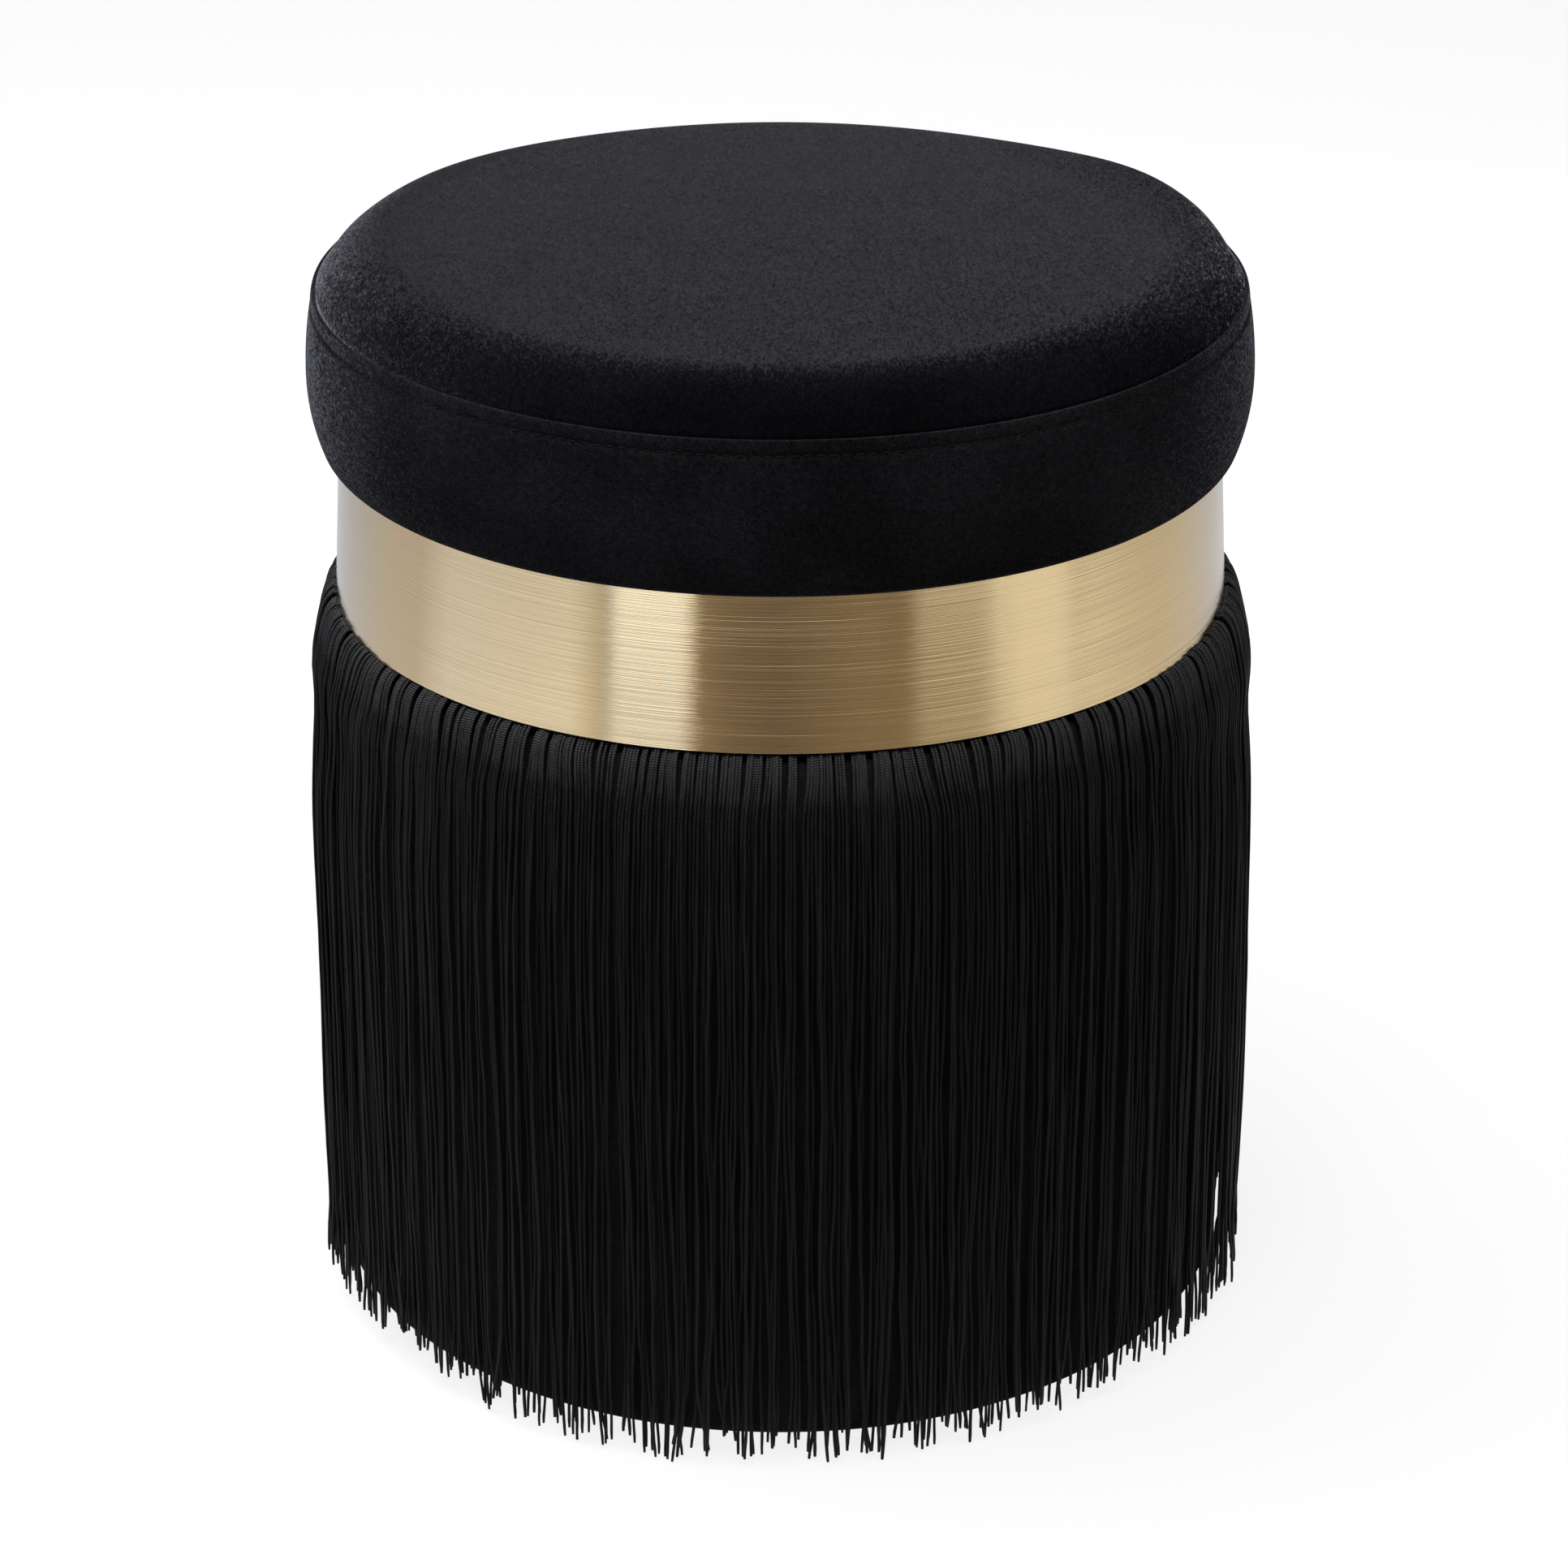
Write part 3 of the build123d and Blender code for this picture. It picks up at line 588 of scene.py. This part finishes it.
def top_wobble(r, z, turn):
    """The same for the top, whose stuffing is fuller over the seam at some places."""
    inside = SEAM_RADIUS - VELVET - r
    comes = smooth_step(inside, *FULL_COMES)
    goes = smooth_step(inside, *FULL_GOES)
    full = comes * (1 - goes) * (z > Z_SEAM + FULL_LEVEL) * near_places(turn, FULL_PLACES)
    return seat_wobble(r + FULL_OUT * full, z + FULL_UP * full, turn)


def seam_relief(depth):
    """How far the side panel stands out, by the distance below its folded edge."""
    ridge = FOLD_RIDGE * np.exp(-(((depth - FOLD_DEPTH) / FOLD_WIDTH) ** 2))
    groove = STITCH_GROOVE * np.exp(-(((depth - SEAM_LAP) / GROOVE_WIDTH) ** 2))
    return ridge - groove


def side_radius(z):
    """The seat's radius, from its widest line up to the seam."""
    draw_in = SEAT_RADIUS - SEAM_RADIUS
    rise = Z_SEAM - Z_BULGE
    size = (draw_in**2 + rise**2) / (2 * draw_in)
    return SEAT_RADIUS - size + np.sqrt(size**2 - (z - Z_BULGE) ** 2)


def side_points(inset, count):
    """The seat's side, from its widest line up to the folded edge."""
    z = np.linspace(Z_BULGE, Z_SEAM - VELVET, count)
    relief = seam_relief(Z_SEAM - z) if inset == 0 else 0
    return np.stack([side_radius(z) - inset + relief, z], axis=-1)


def under_side(inset):
    """The seat's underside and the roll up to its widest line."""
    level = Z_SEAT + inset
    roll = oval((SEAT_FLAT, Z_BULGE), SEAT_ROLL, SEAT_BULGE, SEAT_ROLL_RADIUS, DOWN, inset)
    hem = np.linspace((SEAT_FLAT - SEAT_HEM, level), (SEAT_FLAT, level), HEM_POINTS)
    return np.concatenate([hem[:-1], roll[::-1]])


def top_points(inset, count):
    """The seat's top, from near the axis over the crown and the rolled edge to the lap under the seam."""
    slope = math.degrees(math.asin(CROWN_EDGE / CROWN_ARC))
    crown = arc((0, Z_CROWN - CROWN_ARC), CROWN_ARC - inset, 90 - AXIS_ANGLE, 90 - slope, count)
    edge = SEAM_RADIUS - VELVET - inset
    roll = tangent_arc(crown[-1], slope, (edge, Z_SEAM + CLEARANCE - inset), count)
    lap = np.linspace(roll[-1], (edge, Z_STITCH), LAP_POINTS)
    return np.concatenate([crown, roll[1:], lap[1:]])


def seat_top():
    """Top panel, one thickness of velvet."""
    profile = np.concatenate([top_points(0, count=48), top_points(VELVET, count=24)[::-1]])
    return turned_mesh("seat_top", profile, top_wobble, ring=False)


def seat_side():
    """Side panel, from the hem under the seat to the folded edge at the seam."""
    outside = np.concatenate([under_side(0), side_points(0, count=64)[1:]])
    inside = np.concatenate([under_side(VELVET), side_points(VELVET, count=24)[1:]])
    edge = (outside[-1] + inside[-1]) / 2
    half = (outside[-1][0] - inside[-1][0]) / 2
    fold = arc(edge, half, 0, 180, count=12)[1:-1]
    return turned_mesh("seat_side", np.concatenate([outside, fold, inside[::-1]]), seat_wobble)


def seat_pad():
    """Foam on and round the seat's board, inside the cover."""
    gap = VELVET + CLEARANCE
    board = Z_SEAT_BOARD + CLEARANCE
    under = [(AXIS, Z_FOAM), (SEAT_BOARD_RADIUS, Z_FOAM), (SEAT_BOARD_RADIUS, board)]
    # The cover's lines moved in, without the hem and the lap
    side = np.concatenate([under_side(gap)[HEM_POINTS - 1:], side_points(gap, count=16)[1:-PAD_SHORT]])
    top = top_points(2 * gap, count=24)[:1 - LAP_POINTS]
    return turned_mesh("seat_pad", np.concatenate([under, side, top[::-1]]), top_wobble, ring=False)


def seat_stitches():
    """Topstitching: short stitches that lie in the groove and dive into the cloth at both ends."""
    rng = np.random.default_rng(SEED)
    surface = float(side_radius(Z_STITCH)) - STITCH_GROOVE
    count = round(2 * math.pi * surface / STITCH_PITCH)
    places = np.arange(count) + rng.uniform(-STITCH_JITTER, STITCH_JITTER, count)
    middle = places * 2 * math.pi / count
    along = np.linspace(-0.5, 0.5, STITCH_POINTS)
    long = STITCH_LENGTH * rng.uniform(*STITCH_SPREAD, (count, 1))
    turn = middle[:, None] + along * long / surface
    slant = rng.normal(0, STITCH_SLANT, (count, 1))
    z = Z_STITCH + 2 * slant * along + rng.normal(0, STITCH_STRAY, (count, 1))
    r = surface + STITCH_RISE - 4 * (STITCH_RISE + STITCH_DIVE) * along**2
    r, z = seat_wobble(r, z, turn)
    section = np.linspace(0, 2 * math.pi, STITCH_SIDES, endpoint=False)
    r = r[..., None] + THREAD / 2 * np.cos(section)
    z = z[..., None] + THREAD / 2 * np.sin(section)
    return grid_mesh("seat_stitches", round_axis(r, z, turn[..., None]))


# Drum
def shoulder_oval(inset, count=16):
    """The drum's rounded shoulder, from the wall up to the flat top."""
    middle = (SHOULDER_START, Z_SHOULDER)
    return oval(middle, SHOULDER_WIDTH, SHOULDER_DROP, SHOULDER_RADIUS, UP, inset, count)


def drum_points(inset):
    """From the hem under the drum, round its lower edge, up the wall and over the shoulder to the top."""
    wall = DRUM_RADIUS - inset
    low = Z_DRUM + inset
    high = Z_DRUM_TOP - inset
    hem = np.linspace((EDGE_START - DRUM_HEM, low), (EDGE_START, low), HEM_POINTS)
    edge = arc((EDGE_START, Z_DRUM + DRUM_EDGE), DRUM_EDGE - inset, -90, 0, count=12)
    side = np.linspace((wall, Z_DRUM + DRUM_EDGE), (wall, Z_SHOULDER), WALL_POINTS)
    top = np.linspace((SHOULDER_START, high), (SHOULDER_START - DRUM_TOP_HEM, high), HEM_POINTS)
    return np.concatenate([hem, edge[1:], side[1:], shoulder_oval(inset)[1:], top[1:]])


def drum_velvet():
    """Cover of the drum, under the fringe."""
    profile = np.concatenate([drum_points(0), drum_points(VELVET)[::-1]])
    return turned_mesh("drum_velvet", profile)


def drum_wadding():
    """Padding between the drum's wall and its cover, turned in over the top board."""
    gap = VELVET + CLEARANCE
    board = DRUM_BOARD_RADIUS + CLEARANCE
    wall = DRUM_WALL_RADIUS + CLEARANCE
    # The cover's line moved in, without the hems
    outside = drum_points(gap)[HEM_POINTS:-HEM_POINTS]
    inside = [
        (SHOULDER_START - WADDING_LIP, Z_DRUM_TOP - gap),
        (board, Z_WALL_TOP + WADDING_STEP),
        (board, Z_WALL_TOP + CLEARANCE),
        (wall, Z_WALL_TOP + CLEARANCE),
        (wall, Z_WALL),
    ]
    return turned_mesh("drum_wadding", np.concatenate([outside, inside]))


def dust_sheet():
    """Thin cloth under the drum, with a slight sag halfway out to its edge."""
    r = np.linspace(AXIS, DUST_RADIUS, DUST_POINTS)
    sag = DUST_SAG * np.sin(math.pi * r / DUST_RADIUS)
    lower = np.stack([r, Z_DUST + DUST_EDGE - sag], axis=-1)
    upper = np.stack([r, np.full(DUST_POINTS, Z_DUST_TOP - DUST_GAP)], axis=-1)
    return turned_mesh("dust_sheet", np.concatenate([lower, upper[::-1]]), ring=False)


# Fringe
def waves(rng, count, at, lengths):
    """One gentle random wave a row, about -1 to 1, along points given in millimetres."""
    total = np.zeros((count, len(at)))
    for _ in range(WAVE_TERMS):
        long = rng.uniform(*lengths, (count, 1))
        wave = np.sin(2 * math.pi * (at / long + rng.random((count, 1))))
        total += wave * rng.uniform(*WAVE_SIZES, (count, 1))
    return total / WAVE_TERMS


def strays(rng, limit):
    """One number for each cord, mostly small, with a few large ones up to a limit."""
    return rng.standard_t(STRAY_FREEDOM, (CORD_COUNT, 1)).clip(-limit, limit)


def clumped_places(rng):
    """Each cord's angle where it leaves the band, the clump that it hangs in, and the count of clumps."""
    sizes = []
    while sum(sizes) < CORD_COUNT:
        sizes.append(int(rng.choice(CLUMP_SIZES, p=CLUMP_ODDS)))
    sizes[-1] -= sum(sizes) - CORD_COUNT
    clump = np.repeat(np.arange(len(sizes)), sizes)
    steps = CORD_GAP * rng.uniform(*GAP_SPREAD, CORD_COUNT)
    first = np.concatenate([[True], np.diff(clump) > 0])
    steps[first] += rng.gamma(*CLUMP_GAP, first.sum())
    angle = np.cumsum(steps) / steps.sum() * 2 * math.pi
    return angle, clump, len(sizes)


def cord_path():
    """The way from the tape over the drum's shoulder, in (radius, height), and the way that it faces."""
    flat = np.linspace((CORD_START, Z_DRUM_TOP), (SHOULDER_START, Z_DRUM_TOP), FLAT_POINTS)
    path = np.concatenate([flat[:-1], shoulder_oval(0, BEND_POINTS)[::-1]])
    slope = np.gradient(path, axis=0)
    return path, unit(np.stack([-slope[:, 1], slope[:, 0]], axis=-1))


def cord_tips(rng, angle, clump, clumps):
    """Height of each cord's tip above the floor."""
    tip = rng.normal(TIP_HEIGHT, TIP_CLUMP_SPREAD, clumps)[clump] + rng.normal(0, TIP_SPREAD, CORD_COUNT)
    return np.clip(tip + near_places(angle, TIP_PLACES), *TIP_LIMITS)[:, None]


def cord_lift(rng, angle, r, depth, share):
    """Distance off the drum: a loose layer, fuller lower down, and flung out a little at the tip."""
    column = (CORD_COUNT, 1)
    layer = rng.choice(LAYERS, CORD_COUNT, p=LAYER_ODDS)[:, None] + rng.uniform(0, LAYER_SPREAD, column)
    fuller = rng.uniform(*FULLER, column) * smooth_step(depth, *FULLER_DEPTH)
    fuller = fuller + near_places(angle, FULLER_PLACES)[:, None] * smooth_step(depth, *FULLER_PLACES_DEPTH)
    sway = SWAY * waves(rng, CORD_COUNT, depth, SWAY_WAVES) * smooth_step(depth, *SWAY_DEPTH)
    flung = rng.normal(*FLUNG, column) * smooth_step(share, *FLUNG_SHARE)
    pressed = PRESSED + (1 - PRESSED) * smooth_step(depth, *PRESSED_DEPTH)
    past_edge = smooth_step(r, SHOULDER_START, SHOULDER_START + LIFT_RUN)
    lift = LIFT * past_edge * (1 - smooth_step(depth, *LIFT_DEPTH))
    past_tape = smooth_step(r, CORD_START, SHOULDER_START + PUFF_RUN)
    puff = near_places(angle, PUFF_PLACES)[:, None] * past_tape * (1 - smooth_step(depth, *PUFF_DEPTH))
    half = CORD_DEPTH / 2
    off = half + CORD_CLEARANCE + layer * pressed + lift + puff + fuller + sway + flung
    return np.maximum(off, half + CLEARANCE)


def cord_aside(rng, angle, clump, clumps, depth, share):
    """Distance sideways: clumps drift together, cords wander, and the tips splay."""
    drift = DRIFT * waves(rng, clumps, depth, DRIFT_WAVES)[clump] * smooth_step(depth, *DRIFT_DEPTH)
    wander = WANDER * waves(rng, CORD_COUNT, depth, WANDER_WAVES) * smooth_step(depth, *WANDER_DEPTH)
    wander += CURL * waves(rng, CORD_COUNT, depth, CURL_WAVES) * smooth_step(depth, *CURL_DEPTH)
    lean = LEAN * strays(rng, LEAN_LIMIT) * share
    middle = np.array([angle[clump == c].mean() for c in range(clumps)])[clump]
    pull = PULL * sum(np.sin(count * angle + rng.uniform(0, 2 * math.pi)) for count in PULL_COUNTS)
    pull = pull + rng.normal(0, PULL_SPREAD, clumps)[clump] - SQUEEZE * (angle - middle) * DRUM_RADIUS
    pulled = pull[:, None] * (1 - smooth_step(depth, *PULL_DEPTH))
    splay = rng.normal(0, SPLAY, clumps)[clump][:, None] * smooth_step(share, *SPLAY_SHARE)
    splay += FRAY * strays(rng, FRAY_LIMIT) * np.clip((share - FRAY_SHARE) / (1 - FRAY_SHARE), 0, 1)
    splay += rng.normal(0, FLICK, (CORD_COUNT, 1)) * smooth_step(share, *FLICK_SHARE)
    return drift + wander + lean + splay + pulled


def cord_lines():
    """Centre lines of the cords, cords x points x 3, and the way that each point faces."""
    rng = np.random.default_rng(SEED)
    angle, clump, clumps = clumped_places(rng)
    path, facing = cord_path()
    hang = 1 - np.linspace(1, 0, HANG_POINTS + 1)[1:] ** HANG_SPREAD
    share = np.concatenate([np.zeros(len(path)), hang])
    facing = np.concatenate([facing, np.repeat([[1.0, 0.0]], HANG_POINTS, axis=0)])

    tip = cord_tips(rng, angle, clump, clumps)
    over = np.repeat(path[None], CORD_COUNT, axis=0)
    z = np.concatenate([over[:, :, 1], Z_SHOULDER + (tip - Z_SHOULDER) * hang], axis=1)
    r = np.concatenate([over[:, :, 0], np.full((CORD_COUNT, HANG_POINTS), DRUM_RADIUS)], axis=1)
    depth = Z_DRUM_TOP - z.mean(0)
    off = cord_lift(rng, angle, r[0], depth, share)
    aside = cord_aside(rng, angle, clump, clumps, depth, share)

    r = r + off * facing[:, 0]
    z = np.maximum(z + off * facing[:, 1], CORD_FLOOR)
    under_band = Z_BAND - CORD_DEPTH / 2 - CLEARANCE
    z = np.where(r < BAND_RADIUS + BAND_REACH, np.minimum(z, under_band), z)
    turn = angle[:, None] + aside / r
    return round_axis(r, z, turn), round_axis(facing[:, 0], facing[:, 1], turn)


def cord_tubes(centre, face):
    """Oval tubes round the centre lines, a little uneven, and slightly thinner at the tip."""
    rng = np.random.default_rng(SEED + 1)
    along = unit(np.gradient(centre, axis=1))
    face = unit(face - (face * along).sum(2, keepdims=True) * along)
    side = np.cross(along, face)
    size = rng.uniform(*CORD_SPREAD, (CORD_COUNT, 1))
    size = size * (1 + CORD_UNEVEN * rng.standard_normal(centre.shape[:2]))
    size[:, -1] *= TIP_TAPER
    turn = np.linspace(0, 2 * math.pi, CORD_SIDES, endpoint=False)[:, None]
    across = (CORD_WIDTH / 2 * size)[:, :, None, None] * np.cos(turn) * side[:, :, None]
    deep = (CORD_DEPTH / 2 * size)[:, :, None, None] * np.sin(turn) * face[:, :, None]
    return centre[:, :, None] + across + deep


def cord_map(tubes):
    """How a cord's faces lie on it: round it across, and in millimetres along it."""
    steps = np.linalg.norm(np.diff(tubes.mean(2), axis=1), axis=2)
    far = np.concatenate([np.zeros((len(tubes), 1)), np.cumsum(steps, axis=1)], axis=1)
    flat_far = np.repeat(far[:, :, None], CORD_SIDES, axis=2).ravel()

    def uv(loops, quads):
        turn = (loops % CORD_SIDES) / CORD_SIDES
        corner = np.arange(len(loops)) % 4
        last = (corner == 1) | (corner == 2)
        wraps = last & (turn == 0) & (np.arange(len(loops)) < 4 * quads)
        return np.stack([turn + wraps, flat_far[loops]], axis=-1)

    return uv


def fringe(material):
    """The cords, in sectors round the drum."""
    made = []
    for i, tubes in enumerate(np.array_split(cord_tubes(*cord_lines()), SECTOR_COUNT)):
        piece = grid_mesh(f"fringe_{i + 1:02d}", tubes, uv=cord_map(tubes))
        made.append(finish_piece(piece, material, "fringe_cords", slot="fringe_yarn"))
    return made


def fringe_tape():
    """The tape that the cords hang from, between the drum and the collar."""
    low = Z_TAPE + CLEARANCE
    high = Z_TAPE_TOP - CLEARANCE
    inner = TAPE_RADIUS - TAPE_WIDTH
    return turned_mesh("fringe_tape", [(inner, low), (TAPE_RADIUS, low), (TAPE_RADIUS, high), (inner, high)])


# Nodes that keep their own meshes
def numbered(name, count):
    """Names of nodes that count from 1."""
    return [f"{name}_{i + 1}" for i in range(count)]


def dress_nodes():
    """Materials of the band, the boards and blocks, the walls, the screws and bolts, and the glides."""
    plywood = plain("plywood", (0.50, 0.35, 0.20), (0.66, 0.50, 0.32),
                    size=9.0, roughness=0.62, stretch=WOOD_GRAIN)
    hardboard = plain("hardboard", (0.16, 0.09, 0.045), (0.24, 0.15, 0.08), size=1.2, roughness=0.6)
    zinc = plain("zinc_steel", (0.52, 0.53, 0.55), (0.68, 0.69, 0.70),
                 size=0.8, roughness=0.34, metallic=1.0)
    plastic = plain("glide_plastic", (0.012, 0.012, 0.013), (0.022, 0.022, 0.024),
                    size=0.6, roughness=0.45)
    boards = ["seat_board", "collar_upper_board", "collar_lower_board", "drum_top_board", "drum_bottom_board"]
    screws = ["collar_screws", "collar_block_screws", "drum_post_screws", "glide_screws"]
    dressed = [
        (brushed_brass(), ["metal_band"]),
        (plywood, boards + numbered("collar_block", 6) + numbered("drum_post", 6)),
        (hardboard, ["collar_wall", "drum_wall"]),
        (zinc, screws + ["seat_bolts", "seat_bolt_washers", "seat_tee_nuts"]),
        (plastic, numbered("glide", 4)),
    ]
    for material, names in dressed:
        for name in names:
            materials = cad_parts[name].data.materials
            materials.clear()
            materials.append(material)


# Studio
def add_light(name, place, aim, size, power, colour=(1, 1, 1)):
    """Rectangular lamp that lights the stool but doesn't show."""
    lamp = bpy.data.lights.new(name, "AREA")
    lamp.shape = "RECTANGLE"
    lamp.size, lamp.size_y = size
    lamp.energy = power
    lamp.color = colour
    light = bpy.data.objects.new(name, lamp)
    light.location = place
    way = Vector(aim) - Vector(place)
    light.rotation_euler = way.to_track_quat("-Z", "Y").to_euler()
    light.visible_camera = False
    bpy.context.scene.collection.objects.link(light)


def add_surface(name, points, faces, material):
    """Object made of a few faces, in metres, for the studio."""
    mesh = bpy.data.meshes.new(name)
    mesh.from_pydata(points, [], faces)
    mesh.materials.append(material)
    piece = bpy.data.objects.new(name, mesh)
    bpy.context.scene.collection.objects.link(piece)
    return piece


def seen_ray(tree):
    """1 for the eye, and for what metal and glass show it; 0 for light."""
    path = tree.nodes.new("ShaderNodeLightPath").outputs
    seen = path["Is Camera Ray"]
    for ray in ("Is Glossy Ray", "Is Transmission Ray"):
        either = tree.nodes.new("ShaderNodeMath")
        either.operation = "MAXIMUM"
        tree.links.new(seen, either.inputs[0])
        tree.links.new(path[ray], either.inputs[1])
        seen = either.outputs[0]
    return seen


def white_floor():
    """Pale floor that keeps shadows: most of what the eye sees of it is its own white."""
    n = Nodes("white_floor")
    n.set(Base_Color=(0.9, 0.9, 0.9, 1.0), Roughness=0.9, Specular_IOR_Level=0.1)
    glow = n.add("ShaderNodeEmission", Color=(1, 1, 1, 1), Strength=1.0)
    mix = n.add("ShaderNodeMixShader", Fac=n.math("MULTIPLY", seen_ray(n.tree), FLOOR_GLOW))
    n.feed(mix.inputs[1], n.shader.outputs[0])
    n.feed(mix.inputs[2], glow.outputs[0])
    n.feed(n.tree.nodes["Material Output"].inputs["Surface"], mix.outputs[0])
    half = FLOOR_HALF
    corners = [(-half, -half, 0), (half, -half, 0), (half, half, 0), (-half, half, 0)]
    floor = add_surface("floor", corners, [(0, 1, 2, 3)], n.material)


def studio_cloth(name, radii, cloth_shades):
    """Ring of cloth on the floor, in the shades that the band mirrors; it hides and shades nothing."""
    n = Nodes(name)
    parts = n.add("ShaderNodeSeparateXYZ", Vector=n.add("ShaderNodeTexCoord").outputs["Object"]).outputs
    shades = n.add("ShaderNodeValToRGB", Fac=n.ramp(n.turn(parts), 0.0, 1.0, -math.pi, math.pi))
    stops = shades.color_ramp.elements
    while len(stops) < len(cloth_shades):
        stops.new(1.0)
    for stop, (angle, shade) in zip(stops, cloth_shades):
        stop.position = 0.5 + angle / 360
        stop.color = (*shade, 1.0)
    n.set(Base_Color=shades.outputs["Color"], Roughness=1.0, Specular_IOR_Level=0.0)
    count = CLOTH_SECTIONS + 1
    turn = np.linspace(-math.pi, math.pi, count)
    points = np.concatenate([round_axis(size, CLOTH_HEIGHT, turn) for size in radii])
    faces = [(i, i + 1, count + i + 1, count + i) for i in range(CLOTH_SECTIONS)]
    cloth = add_surface(name, points, faces, n.material)
    cloth.visible_camera = False
    cloth.visible_shadow = False


def white_world():
    """A dim room that the eye, metal and glass see as white."""
    world = bpy.data.worlds.new("studio")
    world.use_nodes = True
    tree = world.node_tree
    dim = tree.nodes["Background"]
    dim.inputs["Color"].default_value = (ROOM_LIGHT, ROOM_LIGHT, ROOM_LIGHT, 1)
    white = tree.nodes.new("ShaderNodeBackground")
    white.inputs["Color"].default_value = (1, 1, 1, 1)
    mix = tree.nodes.new("ShaderNodeMixShader")
    tree.links.new(seen_ray(tree), mix.inputs["Fac"])
    tree.links.new(dim.outputs[0], mix.inputs[1])
    tree.links.new(white.outputs[0], mix.inputs[2])
    tree.links.new(mix.outputs[0], tree.nodes["World Output"].inputs["Surface"])
    return world


def studio():
    """Room, lamps, floor and cloths: softboxes light the stool, and low strips show in the band."""
    bpy.context.scene.world = white_world()
    bpy.context.scene.view_settings.view_transform = "Standard"
    add_light("top_softbox", (-0.55, 0.2, 2.1), AIM, (1.5, 1.5), 53)
    add_light("front_softbox", (0.1, -0.95, 2.0), (0, -0.15, 0.3), (1.4, 0.6), 28)
    add_light("left_softbox", (-1.4, 0.0, 0.95), (0, 0, 0.37), (0.8, 0.8), 3.0)
    add_light("left_strip", (-0.65, -1.16, STRIP_HEIGHT), AIM, (0.45, 0.4), 0.86, (0.94, 1.0, 1.1))
    add_light("right_strip", (0.88, -0.97, STRIP_HEIGHT), AIM, (0.5, 0.4), 0.4)
    add_light("side_strip", (1.15, -0.62, STRIP_HEIGHT), AIM, (0.45, 0.4), 0.3)
    add_light("front_strip", (0.07, -1.3, STRIP_HEIGHT), (0.02, 0, 0.3), (0.95, 0.4), 0.08,
              (1.0, 0.85, 0.65))
    for i, shades in enumerate((OTHER_SHADES, MIDDLE_SHADES, OTHER_SHADES)):
        studio_cloth(f"studio_cloth_{i + 1}", CLOTH_RADII[i:i + 2], shades)
    white_floor()


def camera():
    """Where the photograph was taken from: in front, above, looking down, with a long lens."""
    data = bpy.data.cameras.new("camera")
    data.sensor_width = SENSOR
    data.lens = LENS
    data.shift_x = CAMERA_SHIFT
    eye = bpy.data.objects.new("camera", data)
    eye.location = CAMERA_PLACE
    eye.rotation_euler = (math.radians(90 - CAMERA_TILT), 0, 0)
    bpy.context.scene.collection.objects.link(eye)
    bpy.context.scene.camera = eye


# What is shown
camera()
studio()
dress_nodes()

seat_velvet = velvet("seat_velvet", dark=(0.0005, 0.0005, 0.0007), light=(0.0035, 0.0035, 0.0044),
                     tint=(0.66, 0.67, 0.76), sheen=0.55, lay=SEAT_LAY, edge_lay=SEAT_EDGE_LAY)
side_velvet = velvet("side_velvet", dark=(0.0025, 0.0025, 0.003), light=(0.017, 0.017, 0.02),
                     tint=(0.62, 0.64, 0.74), sheen=0.19)
# Painted fill light: the drum's velvet gets a lighter colour than the seat top's, so the deep shade seen
# between the cords reads lighter
drum_velvet_painted_fill = velvet("drum_velvet", dark=(0.006, 0.006, 0.0065), light=(0.016, 0.016, 0.0175),
                    tint=(0.6, 0.62, 0.7), sheen=0.1)
foam = plain("foam", (0.72, 0.66, 0.48), (0.80, 0.74, 0.56), size=1.0, roughness=0.9)
wadding = plain("wadding", (0.78, 0.78, 0.76), (0.88, 0.88, 0.86), size=3.0, roughness=0.95)
thread = plain("thread", (0.005, 0.005, 0.0055), (0.014, 0.014, 0.015),
               size=0.3, roughness=0.9, specular=0.05)
tape = plain("fringe_tape", (0.008, 0.008, 0.009), (0.02, 0.02, 0.022), size=0.6, roughness=0.8)
dust_cloth = plain("dust_cloth", (0.012, 0.012, 0.013), (0.03, 0.03, 0.032), size=0.5, roughness=0.9)
yarn = cord_yarn()

pad = finish_piece(seat_pad(), foam, "seat_foam", slot="foam")
top = finish_piece(seat_top(), seat_velvet, "seat_top_panel", slot="velvet")
stitches = finish_piece(seat_stitches(), thread)
side = finish_piece(seat_side(), side_velvet, "seat_side_panel", slot="velvet")
stuffing = finish_piece(drum_wadding(), wadding, "drum_padding", slot="foam")
cover = finish_piece(drum_velvet(), drum_velvet_painted_fill, "drum_cover", slot="velvet")
cords = fringe(yarn)
finish_piece(fringe_tape(), tape, "fringe_heading", slot="fringe_yarn")
dust = finish_piece(dust_sheet(), dust_cloth, "dust_cover", slot="dust_cloth")
